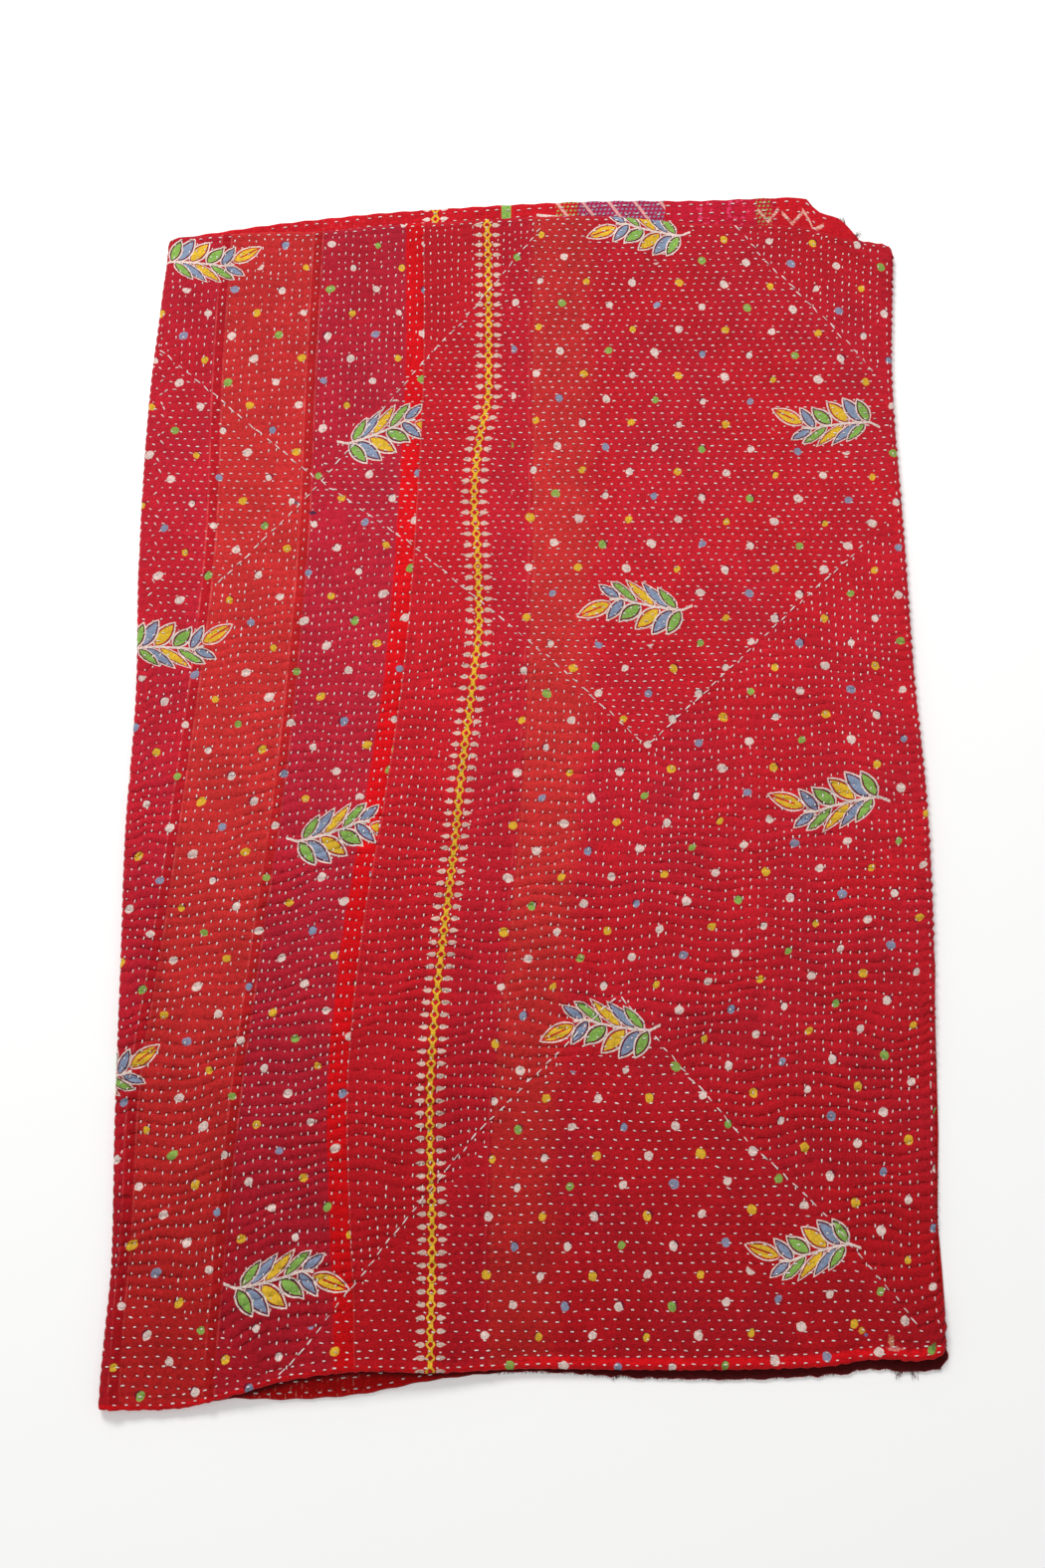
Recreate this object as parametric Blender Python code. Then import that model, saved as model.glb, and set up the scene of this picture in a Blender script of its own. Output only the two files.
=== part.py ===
"""A kantha quilt, folded once in half and laid flat: the fold on the left, the free side hems on the right.

Metres, +Z up. X runs across the folded quilt and Y along it, from the near hem to the far hem.
The underside lies on Z = 0 with the origin under its middle. The cloth is one closed sheet.
Its under half lies flat, turns over at the fold and comes back as the upper half, a little
above, whose face carries the raised quilting and the ridges of the patched layers.
"""

import math
from collections import namedtuple

import bmesh
import bpy

Swell = namedtuple("Swell", "x y reach_x reach_y height")
Column = namedtuple("Column", "line offset ridge plain_after")

OBJECT_NAME = "quilt"
COLLECTION_NAME = "kantha_quilt"

# The cloth
CLOTH_THICKNESS = 0.003
LAYER_GAP = 0.0015            # air between the two halves
FOLD_GAP = 0.004              # air inside the loop of the fold
FOLD_EASE = 0.045             # way from the fold over which its swelling dies out
EDGE_EASE = 0.0006            # how much a hem is pressed down at its very edge

# The sewn ripples across the upper face, one for every two of the real ones
RIPPLES = 56
RIPPLE_HEIGHT = 0.0018
RIPPLE_SWAY = 0.0022          # how far a ripple wanders along Y
RIPPLE_SWAY_LENGTH = 0.11
SWAY_TURN = 0.9               # how far the sway turns from row to row, radians
RIPPLE_UNEVEN = 0.3           # share by which one stretch is lower than another
UNEVEN_REACH_X, UNEVEN_REACH_Y = 0.043, 0.090
UNEVEN_TURN = 1.7             # how far the unevenness turns from row to row, radians
DIAMOND_CALM = 0.2            # share of the ripples' height left inside a diamond
DIAMOND_CROWN = 0.0009        # how far a diamond's field swells between its rows
DIAMOND_FADE = 0.030

# Ridges of the patched layers
TUCK_HEIGHT = 0.0014
TUCK_HALF_WIDTH = 0.006
STRIP_HEIGHT = 0.0011
STRIP_WIDTH = 0.020
SEAM_WIDTH = 0.002
HEM_WIDTH = 0.009

# How far the lifted near hem's arch runs back along the quilt
LIFT_REACH = 0.100

# Points of the mesh
ROWS_PER_RIPPLE = 2
ROWS_PER_BLOCK = 4            # rows of the face to one row of the plain skins
COLUMNS_PER_INNER = 4         # columns of the face to one column of the inner skin
FOLD_STEPS = 6                # facets round the fold
UNDER_STEPS = 6               # facets across the under half

ROWS = RIPPLES * ROWS_PER_RIPPLE
BLOCKS = ROWS // ROWS_PER_BLOCK
FOLD_OUTER_RADIUS = CLOTH_THICKNESS + FOLD_GAP / 2
FOLD_INNER_RADIUS = FOLD_GAP / 2

# The lines that run along the quilt, as X at stations along Y. The strip seam is the right
# edge of the bright strip, and under_hem is the side hem of the under half.
LINE_COLUMNS = ("y", "fold", "tuck_1", "tuck_2", "strip_seam", "tuck_3", "face_hem", "under_hem")
LINES = (
    (-0.640, -0.428, -0.412, -0.317, -0.170, -0.039, 0.421, 0.424),
    (-0.500, -0.422, -0.407, -0.311, -0.179, -0.038, 0.419, 0.422),
    (-0.350, -0.426, -0.406, -0.300, -0.185, -0.033, 0.425, 0.428),
    (-0.200, -0.428, -0.389, -0.284, -0.174, -0.019, 0.431, 0.431),
    (-0.050, -0.430, -0.374, -0.267, -0.152, -0.006, 0.431, 0.427),
    (0.100, -0.426, -0.360, -0.255, -0.133, 0.002, 0.424, 0.420),
    (0.250, -0.430, -0.350, -0.247, -0.123, 0.007, 0.421, 0.415),
    (0.450, -0.427, -0.350, -0.244, -0.116, 0.007, 0.416, 0.405),
    (0.620, -0.414, -0.346, -0.240, -0.118, 0.008, 0.424, 0.386),
)

# The end hems, as Y at stations along X, and how far the near hem of the face stands up off
# the under half. The under half reaches past the face at the far end and has a cut corner.
HEM_COLUMNS = ("x", "face_far", "under_far", "face_near", "under_near", "lift")
HEMS = (
    (-0.430, 0.611, 0.611, -0.667, -0.667, 0.000),
    (-0.350, 0.618, 0.624, -0.666, -0.667, 0.000),
    (-0.300, 0.621, 0.632, -0.655, -0.658, 0.003),
    (-0.240, 0.622, 0.640, -0.638, -0.658, 0.010),
    (-0.170, 0.629, 0.648, -0.629, -0.653, 0.012),
    (-0.090, 0.634, 0.654, -0.631, -0.639, 0.006),
    (0.000, 0.640, 0.659, -0.628, -0.632, 0.000),
    (0.100, 0.640, 0.663, -0.629, -0.637, 0.000),
    (0.200, 0.631, 0.664, -0.629, -0.639, 0.000),
    (0.300, 0.630, 0.665, -0.626, -0.636, 0.000),
    (0.345, 0.622, 0.650, -0.620, -0.632, 0.000),
    (0.385, 0.610, 0.613, -0.619, -0.632, 0.000),
    (0.430, 0.603, 0.600, -0.615, -0.629, 0.000),
)
NEAR_Y, FAR_Y = -0.640, 0.630     # where a row's share of the length is read off the lines

# Soft swells in which the upper half lies
SWELLS = (
    Swell(-0.300, 0.430, 0.110, 0.140, 0.0014),
    Swell(-0.360, -0.080, 0.070, 0.120, 0.0016),
    Swell(-0.060, 0.200, 0.140, 0.110, 0.0012),
    Swell(0.260, 0.480, 0.160, 0.090, 0.0014),
    Swell(0.360, 0.080, 0.090, 0.150, 0.0018),
    Swell(0.120, -0.160, 0.180, 0.090, 0.0012),
    Swell(-0.150, -0.370, 0.130, 0.130, 0.0016),
    Swell(0.290, -0.470, 0.140, 0.090, 0.0016),
    Swell(0.395, -0.600, 0.035, 0.030, 0.0022),
)

# The stitched diamonds, inside which the ripples lie calm, as corners going round anticlockwise
DIAMONDS = (
    ((-0.250, 0.308), (0.131, 0.010), (0.483, 0.341), (0.133, 0.762)),
    ((-0.250, 0.308), (-0.440, 0.495), (-0.600, 0.300), (-0.440, 0.075)),
    ((0.097, -0.257), (-0.275, -0.668), (0.468, -0.669)),
)

# The columns of points across the face: the line each follows and its offset from it, the
# height of the ridge there, and how many plain columns follow before the next one
FACE_COLUMNS = (
    Column("fold", FOLD_OUTER_RADIUS, 0.0, 1),
    Column("tuck_1", -TUCK_HALF_WIDTH, 0.0, 0),
    Column("tuck_1", 0.0, TUCK_HEIGHT, 0),
    Column("tuck_1", TUCK_HALF_WIDTH, 0.0, 3),
    Column("tuck_2", -TUCK_HALF_WIDTH, 0.0, 0),
    Column("tuck_2", 0.0, TUCK_HEIGHT, 0),
    Column("tuck_2", TUCK_HALF_WIDTH, 0.0, 4),
    Column("strip_seam", -STRIP_WIDTH - SEAM_WIDTH, 0.0, 0),
    Column("strip_seam", -STRIP_WIDTH, STRIP_HEIGHT, 0),
    Column("strip_seam", -SEAM_WIDTH, STRIP_HEIGHT, 0),
    Column("strip_seam", 0.0, 0.0, 4),
    Column("tuck_3", -TUCK_HALF_WIDTH, 0.0, 0),
    Column("tuck_3", 0.0, TUCK_HEIGHT, 0),
    Column("tuck_3", TUCK_HALF_WIDTH, 0.0, 14),
    Column("face_hem", -HEM_WIDTH, 0.0, 0),
    Column("face_hem", 0.0, 0.0, 0),
)

CLOTH_COLOUR = (0.335, 0.036, 0.068, 1.0)
CLOTH_ROUGHNESS = 0.92


def clear_scene():
    """Remove every object of the open scene."""
    for obj in list(bpy.data.objects):
        bpy.data.objects.remove(obj, do_unlink=True)


def mix(low, high, share):
    """The value a share of the way from low to high."""
    return low + (high - low) * share


def smooth_step(value):
    """Ease from 0 to 1 as the value goes from 0 to 1."""
    value = min(max(value, 0.0), 1.0)
    return value * value * (3.0 - 2.0 * value)


def read_table(rows, columns, name, at):
    """A table's column at a station, on a smooth curve through its rows."""
    key = columns.index(name)
    last = len(rows) - 1
    at = min(max(at, rows[0][0]), rows[last][0])
    i = 0
    while i < last - 1 and at > rows[i + 1][0]:
        i += 1
    before, start, end, after = rows[max(i - 1, 0)], rows[i], rows[i + 1], rows[min(i + 2, last)]
    span = end[0] - start[0]
    share = (at - start[0]) / span
    slope_start = (end[key] - before[key]) / (end[0] - before[0]) * span
    slope_end = (after[key] - start[key]) / (after[0] - start[0]) * span
    square, cube = share ** 2, share ** 3
    return ((2 * cube - 3 * square + 1) * start[key] + (cube - 2 * square + share) * slope_start
            + (3 * square - 2 * cube) * end[key] + (cube - square) * slope_end)


def line_x(name, y):
    """X of a named line at a station along the quilt."""
    return read_table(LINES, LINE_COLUMNS, name, y)


def hem(name, x):
    """A named value of the end hems at a station across the quilt."""
    return read_table(HEMS, HEM_COLUMNS, name, x)


def along_y(x, share, under):
    """Y at a share of the length from near to far; under is 0 on the face and 1 on the under half."""
    near = mix(hem("face_near", x), hem("under_near", x), under)
    far = mix(hem("face_far", x), hem("under_far", x), under)
    return mix(near, far, share)


def spread_columns():
    """Every column across the face: its neighbours in the table, the share between them, its ridge."""
    columns = []
    for here, after in zip(FACE_COLUMNS, FACE_COLUMNS[1:]):
        steps = here.plain_after + 1
        for step in range(steps):
            columns.append((here, after, step / steps, here.ridge if step == 0 else 0.0))
    hem_edge = FACE_COLUMNS[-1]
    return columns + [(hem_edge, hem_edge, 0.0, hem_edge.ridge)]


def column_x(column, y):
    """X of a column of the face at a station along the quilt."""
    left, right, share, _ridge = column
    return mix(line_x(left.line, y) + left.offset, line_x(right.line, y) + right.offset, share)


def depth_inside(corners, x, y):
    """How far a point lies inside a polygon with anticlockwise corners; negative outside."""
    depth = math.inf
    for (ax, ay), (bx, by) in zip(corners, corners[1:] + corners[:1]):
        length = math.hypot(bx - ax, by - ay)
        depth = min(depth, ((bx - ax) * (y - ay) - (by - ay) * (x - ax)) / length)
    return depth


def diamond_share(x, y):
    """1 well inside a stitched diamond, 0 outside it."""
    depth = max(depth_inside(corners, x, y) for corners in DIAMONDS)
    return smooth_step(0.5 + depth / DIAMOND_FADE)


def inner_height(x, y, shoulder_x):
    """Height of the underside of the upper half."""
    fold_swell = (FOLD_GAP - LAYER_GAP) * (1.0 - smooth_step((x - shoulder_x) / FOLD_EASE))
    from_hem = (y - hem("face_near", x)) / LIFT_REACH
    lift = max(hem("lift", x), 0.0) * (1.0 - smooth_step(from_hem))
    rise = 0.0
    for swell in SWELLS:
        away = ((x - swell.x) / swell.reach_x) ** 2 + ((y - swell.y) / swell.reach_y) ** 2
        rise += swell.height * math.exp(-away)
    eased_in = smooth_step((x - shoulder_x) / FOLD_EASE)
    return CLOTH_THICKNESS + LAYER_GAP + fold_swell + lift + rise * eased_in


def ripple(x, y, row):
    """Height of the sewn ripples above the face on a row, with a crest midway through each ripple."""
    crest = 0.5 - 0.5 * math.cos(2 * math.pi * row / ROWS_PER_RIPPLE)
    patchy = math.sin(x / UNEVEN_REACH_X + UNEVEN_TURN * row) * math.cos(y / UNEVEN_REACH_Y)
    uneven = 1.0 - RIPPLE_UNEVEN * (0.5 + 0.5 * patchy)
    calm = mix(1.0, DIAMOND_CALM, diamond_share(x, y))
    return RIPPLE_HEIGHT * crest * uneven * calm


def face_point(columns, index, row):
    """A point of the upper face."""
    share = row / ROWS
    station = mix(NEAR_Y, FAR_Y, share)
    x = column_x(columns[index], station)
    y = along_y(x, share, 0.0)
    at_side = index in (0, len(columns) - 1)
    at_end = row in (0, ROWS)
    if not at_side and not at_end:
        y += RIPPLE_SWAY * math.sin(2 * math.pi * x / RIPPLE_SWAY_LENGTH + SWAY_TURN * row)
    z = inner_height(x, y, line_x("fold", station) + FOLD_OUTER_RADIUS) + CLOTH_THICKNESS
    if index > 0:
        z += columns[index][3] + ripple(x, y, row) + DIAMOND_CROWN * diamond_share(x, y)
    if at_end or index == len(columns) - 1:
        z -= EDGE_EASE
    return x, y, z


def plain_row(columns, inner_indices, block):
    """One row of the plain skins: the outer from the fold's shoulder on, and all of the inner."""
    share = block / BLOCKS
    station = mix(NEAR_Y, FAR_Y, share)
    fold_x = line_x("fold", station)
    shoulder_x = fold_x + FOLD_OUTER_RADIUS
    outer, inner = [], []
    for index in inner_indices:
        x = column_x(columns[index], station)
        y = along_y(x, share, 0.0)
        inner.append((x, y, inner_height(x, y, shoulder_x)))
    for step in range(1, FOLD_STEPS):
        turn = step / FOLD_STEPS
        y = along_y(fold_x, share, turn)
        for radius, skin in ((FOLD_OUTER_RADIUS, outer), (FOLD_INNER_RADIUS, inner)):
            x = shoulder_x - radius * math.sin(math.pi * turn)
            skin.append((x, y, FOLD_OUTER_RADIUS + radius * math.cos(math.pi * turn)))
    for step in range(UNDER_STEPS + 1):
        x = mix(shoulder_x, line_x("under_hem", station), step / UNDER_STEPS)
        y = along_y(x, share, 1.0)
        outer.append((x, y, 0.0))
        inner.append((x, y, CLOTH_THICKNESS))
    return outer, inner


def quilt_mesh():
    """The folded cloth as one closed skin: a fine upper face, and plain skins for the rest."""
    bm = bmesh.new()
    columns = spread_columns()
    last = len(columns) - 1
    inner_indices = [last] + [i for i in range(last - 1, 0, -1) if i % COLUMNS_PER_INNER == 0] + [0]
    face = [[bm.verts.new(face_point(columns, i, row)) for i in range(last + 1)]
            for row in range(ROWS + 1)]
    outer, inner = [], []
    for block in range(BLOCKS + 1):
        outer_points, inner_points = plain_row(columns, inner_indices, block)
        shoulder = face[block * ROWS_PER_BLOCK][0]
        outer.append([shoulder] + [bm.verts.new(point) for point in outer_points])
        inner.append([bm.verts.new(point) for point in inner_points])

    for near, far in zip(face, face[1:]):
        for i in range(last):
            bm.faces.new((near[i], near[i + 1], far[i + 1], far[i]))
    for block in range(BLOCKS):
        rows = face[block * ROWS_PER_BLOCK:(block + 1) * ROWS_PER_BLOCK + 1]
        near_out, far_out, near_in, far_in = outer[block], outer[block + 1], inner[block], inner[block + 1]
        bm.faces.new([row[0] for row in rows] + [far_out[1], near_out[1]])
        bm.faces.new([row[last] for row in rows] + [far_in[0], near_in[0]])
        for i in range(1, len(near_out) - 1):
            bm.faces.new((near_out[i], far_out[i], far_out[i + 1], near_out[i + 1]))
        for i in range(len(near_in) - 1):
            bm.faces.new((near_in[i], near_in[i + 1], far_in[i + 1], far_in[i]))
        bm.faces.new((near_out[-1], near_in[-1], far_in[-1], far_out[-1]))
    for row, block in ((0, 0), (ROWS, BLOCKS)):
        close_end(bm, face[row], outer[block], inner[block], inner_indices)

    bmesh.ops.recalc_face_normals(bm, faces=bm.faces)
    bmesh.ops.triangulate(bm, faces=[f for f in bm.faces if len(f.verts) > 3])
    centre_on_origin(bm)
    mesh = bpy.data.meshes.new(OBJECT_NAME)
    bm.to_mesh(mesh)
    bm.free()
    return mesh


def close_end(bm, face_row, outer_row, inner_row, inner_indices):
    """Close the cloth's thickness along one end hem."""
    for step, (right, left) in enumerate(zip(inner_indices, inner_indices[1:])):
        bm.faces.new([face_row[i] for i in range(left, right + 1)] + [inner_row[step], inner_row[step + 1]])
    shoulder = len(inner_indices) - 1
    for step in range(len(outer_row) - 1):
        bm.faces.new((outer_row[step], outer_row[step + 1],
                      inner_row[shoulder + step + 1], inner_row[shoulder + step]))


def centre_on_origin(bm):
    """Shift the cloth so that the origin lies under the middle of its box."""
    for axis in (0, 1):
        values = [vert.co[axis] for vert in bm.verts]
        middle = (min(values) + max(values)) / 2
        for vert in bm.verts:
            vert.co[axis] -= middle


def cloth_material():
    """Worn crimson cotton."""
    material = bpy.data.materials.new("printed_cotton")
    material.use_nodes = True
    shader = material.node_tree.nodes["Principled BSDF"]
    shader.inputs["Base Color"].default_value = CLOTH_COLOUR
    shader.inputs["Roughness"].default_value = CLOTH_ROUGHNESS
    shader.inputs["Metallic"].default_value = 0.0
    material.diffuse_color = CLOTH_COLOUR
    return material


def main():
    clear_scene()
    collection = bpy.data.collections.new(COLLECTION_NAME)
    bpy.context.scene.collection.children.link(collection)
    mesh = quilt_mesh()
    mesh.materials.append(cloth_material())
    quilt = bpy.data.objects.new(OBJECT_NAME, mesh)
    collection.objects.link(quilt)


main()
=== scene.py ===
"""A worn kantha quilt of printed cotton, folded once and laid flat: the finished look of every surface.

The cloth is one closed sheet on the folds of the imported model. Its running stitches, the long
stitches of its diamonds, its hem rows and its frayed threads lie on it as pieces of their own.
Metres, +Z up. X runs from the fold to the free side hems and Y from the near to the far hem.
"""

import math
from collections import namedtuple

import bmesh
import bpy
import numpy as np
from bpy.props import FloatProperty, FloatVectorProperty, IntProperty, PointerProperty
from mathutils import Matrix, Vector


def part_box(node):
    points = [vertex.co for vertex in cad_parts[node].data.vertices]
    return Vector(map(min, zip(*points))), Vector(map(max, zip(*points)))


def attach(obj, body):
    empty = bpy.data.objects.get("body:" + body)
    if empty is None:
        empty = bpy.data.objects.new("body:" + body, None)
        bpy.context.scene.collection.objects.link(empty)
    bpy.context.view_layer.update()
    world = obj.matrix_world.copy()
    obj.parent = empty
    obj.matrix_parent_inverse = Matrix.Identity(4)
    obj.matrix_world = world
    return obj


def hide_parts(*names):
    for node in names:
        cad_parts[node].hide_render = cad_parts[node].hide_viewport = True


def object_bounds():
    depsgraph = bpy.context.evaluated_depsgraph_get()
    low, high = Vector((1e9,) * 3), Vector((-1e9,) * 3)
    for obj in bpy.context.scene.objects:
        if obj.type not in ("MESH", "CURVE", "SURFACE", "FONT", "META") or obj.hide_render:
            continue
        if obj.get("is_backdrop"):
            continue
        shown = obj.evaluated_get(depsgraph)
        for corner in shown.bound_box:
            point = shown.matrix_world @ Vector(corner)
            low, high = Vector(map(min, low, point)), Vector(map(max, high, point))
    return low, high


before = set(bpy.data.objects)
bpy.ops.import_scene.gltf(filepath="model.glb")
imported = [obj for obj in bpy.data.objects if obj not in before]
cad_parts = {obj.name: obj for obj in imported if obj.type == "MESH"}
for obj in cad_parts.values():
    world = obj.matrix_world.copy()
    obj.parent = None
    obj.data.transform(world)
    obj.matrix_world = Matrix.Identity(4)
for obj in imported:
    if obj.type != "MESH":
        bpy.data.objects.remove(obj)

bl_info = {
    "name": "Kantha Quilt",
    "version": (1, 0, 0),
    "blender": (4, 5, 0),
    "location": "3D View > Sidebar > Quilt",
    "description": "Builds a folded kantha quilt with its printed cotton and running stitch",
    "category": "Object",
}

NODE, BODY, SLOT = "quilt", "root", "printed_cotton"
FRAME_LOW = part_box(NODE)[0]

# Lines that run along the quilt, as X at stations along Y. The strip seam is the right edge of
# the bright strip, the chain is printed, and under_hem is the side hem of the under half.
LINE_COLUMNS = ("y", "fold", "tuck_1", "tuck_2", "strip_seam", "chain", "tuck_3", "face_hem", "under_hem")
LINES = (
    (-0.640, -0.428, -0.412, -0.317, -0.170, -0.096, -0.039, 0.421, 0.424),
    (-0.600, -0.427, -0.411, -0.316, -0.172, -0.096, -0.039, 0.422, 0.424),
    (-0.560, -0.425, -0.410, -0.314, -0.174, -0.096, -0.038, 0.417, 0.423),
    (-0.500, -0.422, -0.407, -0.311, -0.179, -0.096, -0.038, 0.418, 0.422),
    (-0.350, -0.426, -0.406, -0.300, -0.185, -0.100, -0.033, 0.425, 0.428),
    (-0.200, -0.428, -0.389, -0.284, -0.174, -0.091, -0.019, 0.431, 0.431),
    (-0.050, -0.430, -0.374, -0.267, -0.152, -0.074, -0.006, 0.431, 0.427),
    (0.100, -0.426, -0.360, -0.255, -0.133, -0.059, 0.002, 0.424, 0.420),
    (0.250, -0.430, -0.350, -0.247, -0.123, -0.054, 0.007, 0.421, 0.415),
    (0.450, -0.427, -0.350, -0.244, -0.116, -0.047, 0.007, 0.416, 0.405),
    (0.620, -0.414, -0.346, -0.240, -0.118, -0.045, 0.008, 0.424, 0.386),
)

# How far the printed chain strays off its line
CHAIN_DRIFT_COLUMNS = ("y", "offset")
CHAIN_DRIFT = (
    (-0.640, 0.0), (-0.300, 0.001), (-0.150, 0.0036), (0.000, 0.0008), (0.100, 0.0030), (0.140, 0.0052),
    (0.240, 0.0002), (0.297, -0.0056), (0.366, -0.0025), (0.413, 0.0050), (0.470, 0.0040), (0.559, 0.0024),
    (0.640, 0.0))

# The end hems, as Y at stations along X, and how far the near hem of the face stands up
HEM_COLUMNS = ("x", "face_far", "under_far", "face_near", "under_near", "lift")
HEMS = (
    (-0.430, 0.611, 0.611, -0.667, -0.667, 0.000),
    (-0.350, 0.618, 0.624, -0.666, -0.667, 0.000),
    (-0.300, 0.621, 0.632, -0.655, -0.658, 0.003),
    (-0.240, 0.622, 0.640, -0.638, -0.658, 0.010),
    (-0.170, 0.629, 0.648, -0.629, -0.653, 0.012),
    (-0.090, 0.634, 0.654, -0.631, -0.639, 0.006),
    (0.000, 0.640, 0.659, -0.628, -0.632, 0.000),
    (0.100, 0.640, 0.663, -0.629, -0.637, 0.000),
    (0.200, 0.631, 0.664, -0.629, -0.639, 0.000),
    (0.300, 0.630, 0.668, -0.626, -0.635, 0.000),
    (0.328, 0.627, 0.666, -0.622, -0.632, 0.000),
    (0.338, 0.623, 0.653, -0.620, -0.630, 0.000),
    (0.354, 0.618, 0.645, -0.619, -0.629, 0.000),
    (0.368, 0.613, 0.639, -0.619, -0.630, 0.000),
    (0.379, 0.611, 0.626, -0.620, -0.632, 0.000),
    (0.389, 0.610, 0.612, -0.621, -0.632, 0.000),
    (0.430, 0.603, 0.600, -0.615, -0.629, 0.000),
)
NEAR_Y, FAR_Y = -0.640, 0.630     # where a row's share of the length is read off the lines
HALF_ACROSS = 0.43                # half of what the table of the end hems spans
OUTLINE_STATIONS = 113            # stations at which the outline's lowest points are looked for
LIFT_REACH = 0.100                # how far the near hem's arch runs back along the quilt
ROUND_FOLD, ROUND_FREE = 0.013, 0.009   # radii of the corners at the fold and at the free hem
FOLD_EASE = 0.045                 # way from the fold over which its swelling dies out
STILL_END = 0.03                  # share of the length at each end hem over which rows lie still
NEAR_SPREAD = 0.06                # how much further apart rows lie at the near end than halfway
CREST_SHAPE = 0.6                 # power of a pucker's sine; below 1 its crest is fuller
SHOULDER_PULL = 0.4               # share of the puckers' height that reaches the fold
CALM_Y, CALM_FADE = 0.42, 0.85    # where the calm far end stops, and the way to the deep puckers
FAR_PULL, NEAR_PULL = 0.45, 1.45  # how strongly the quilting puckers either end
SCALLOP = 0.0013                  # depth of the free hem's scallops
FOLD_PUCKER = 0.0009              # depth of the puckers round the fold
DIAMOND_FADE = 0.016              # way over which the puckers change to a diamond's
EDGE_SINK = 0.0006                # how far the face sinks at its hems

# The turned near hem of the face: a roll and the groove behind it, as height, way from the hem's
# edge and width, and where it loses its fullness near the fold
HEM_ROLLS = ((0.0013, 0.0045, 0.0032), (-0.0009, 0.0125, 0.0028))
FULL_ROLL_X, WORN_ROLL = -0.31, 0.3

# Unevenness of the hems' edges, as waves of a height, a rate and a start
FACE_JAG = ((0.0005, 640, 0.0), (0.0004, 1530, 1.0))
UNDER_JAG = ((0.0005, 830, 0.0), (0.0006, 210, 0.0))
UNDER_HEM_SWAY = ((0.0008, 5.1, 0.0), (0.0006, 2.3, 1.0))
# The ragged near hem of the under half: its depth, from where along X, and the way it comes in over
RAGGED, RAGGED_FROM, RAGGED_EASE = 0.0011, -0.02, 0.03

# Soft swells in which the upper half lies
Swell = namedtuple("Swell", "x y reach_x reach_y height")
SWELLS = (
    Swell(-0.300, 0.430, 0.110, 0.140, 0.0014),
    Swell(-0.360, -0.080, 0.070, 0.120, 0.0016),
    Swell(-0.060, 0.200, 0.140, 0.110, 0.0012),
    Swell(0.260, 0.480, 0.160, 0.090, 0.0014),
    Swell(0.360, 0.080, 0.090, 0.150, 0.0018),
    Swell(0.120, -0.160, 0.180, 0.090, 0.0012),
    Swell(-0.150, -0.370, 0.130, 0.130, 0.0016),
    Swell(0.290, -0.470, 0.140, 0.090, 0.0016),
    Swell(0.395, -0.600, 0.035, 0.030, 0.0022),
    Swell(0.412, -0.592, 0.011, 0.020, 0.0022),
)

# The stitched diamonds as corners going round anticlockwise, the gap between their stitch rows
# and the pitch of their stitches
Diamond = namedtuple("Diamond", "corners row_gap stitch_pitch")
DIAMONDS = (
    Diamond(((-0.250, 0.308), (0.131, 0.010), (0.483, 0.341), (0.133, 0.762)), 0.0076, 0.0104),
    Diamond(((-0.250, 0.308), (-0.440, 0.495), (-0.600, 0.300), (-0.440, 0.075)), 0.0085, 0.0100),
    Diamond(((0.097, -0.257), (-0.275, -0.668), (0.468, -0.669)), 0.0094, 0.0117),
    Diamond(((-0.460, -0.700), (-0.230, -0.700), (-0.267, -0.621), (-0.331, -0.580), (-0.460, -0.549)),
            0.0095, 0.0112),
)
DIAMOND_SWAY = 0.28               # share of the puckers' wandering that a diamond's rows follow
DIAMOND_MARGIN = 0.03             # how far round a diamond its own rows and stitches are counted

# The lines of long stitches round the diamonds, as points that each line runs through
DIAMOND_LINES = (
    ((-0.430, 0.482), (-0.368, 0.431), (-0.245, 0.325), (-0.124, 0.237), (0.034, 0.102), (0.131, 0.010)),
    ((0.020, 0.628), (-0.066, 0.516), (-0.115, 0.460), (-0.238, 0.302), (-0.344, 0.191)),
    ((0.242, 0.630), (0.276, 0.585), (0.361, 0.490), (0.400, 0.440)),
    ((0.378, 0.242), (0.262, 0.135), (0.131, 0.010)),
    ((0.097, -0.257), (0.050, -0.300), (-0.052, -0.399), (-0.136, -0.500), (-0.233, -0.621),
     (-0.244, -0.630)),
    ((0.097, -0.257), (0.223, -0.401), (0.305, -0.478), (0.376, -0.563), (0.398, -0.592)),
)

# Columns of points across the face: the line each follows and its offset from it, the height of
# the ridge there, and how many plain columns follow before the next one
Column = namedtuple("Column", "line offset ridge plain_after")
TUCK_FORM = ((-0.0055, 0.0), (-0.0040, 0.0009), (0.0, 0.0012), (0.0040, 0.0009), (0.0055, 0.0))
FACE_COLUMNS = (
    Column("fold", 0.0050, 0.0, 7),
    *(Column("tuck_1", offset, ridge, 16 if offset == 0.0055 else 0) for offset, ridge in TUCK_FORM),
    *(Column("tuck_2", offset, ridge, 17 if offset == 0.0055 else 0) for offset, ridge in TUCK_FORM),
    Column("strip_seam", -0.0225, 0.0, 0),
    Column("strip_seam", -0.0208, 0.0009, 3),
    Column("strip_seam", -0.0014, 0.0010, 0),
    Column("strip_seam", 0.0, 0.0, 23),
    Column("tuck_3", -0.0035, 0.0, 0),
    Column("tuck_3", 0.0, 0.0009, 0),
    Column("tuck_3", 0.0035, 0.0, 77),
    Column("face_hem", -0.0060, 0.0002, 0),
    Column("face_hem", -0.0025, 0.0004, 0),
    Column("face_hem", 0.0, 0.0, 0),
)
COLUMNS_PER_INNER = 4             # columns of the face to one of the upper half's inside
FOLD_STEPS = 8                    # facets round the fold
UNDER_STEPS = 110                 # facets across the under half
ROWS_PER_RIPPLE = 4
DENSE_END_ROWS = 16               # rows of every skin that are kept at each end hem
SPARSE_STEP = 16                  # rows of the face to one of the plain skins between them

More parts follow.
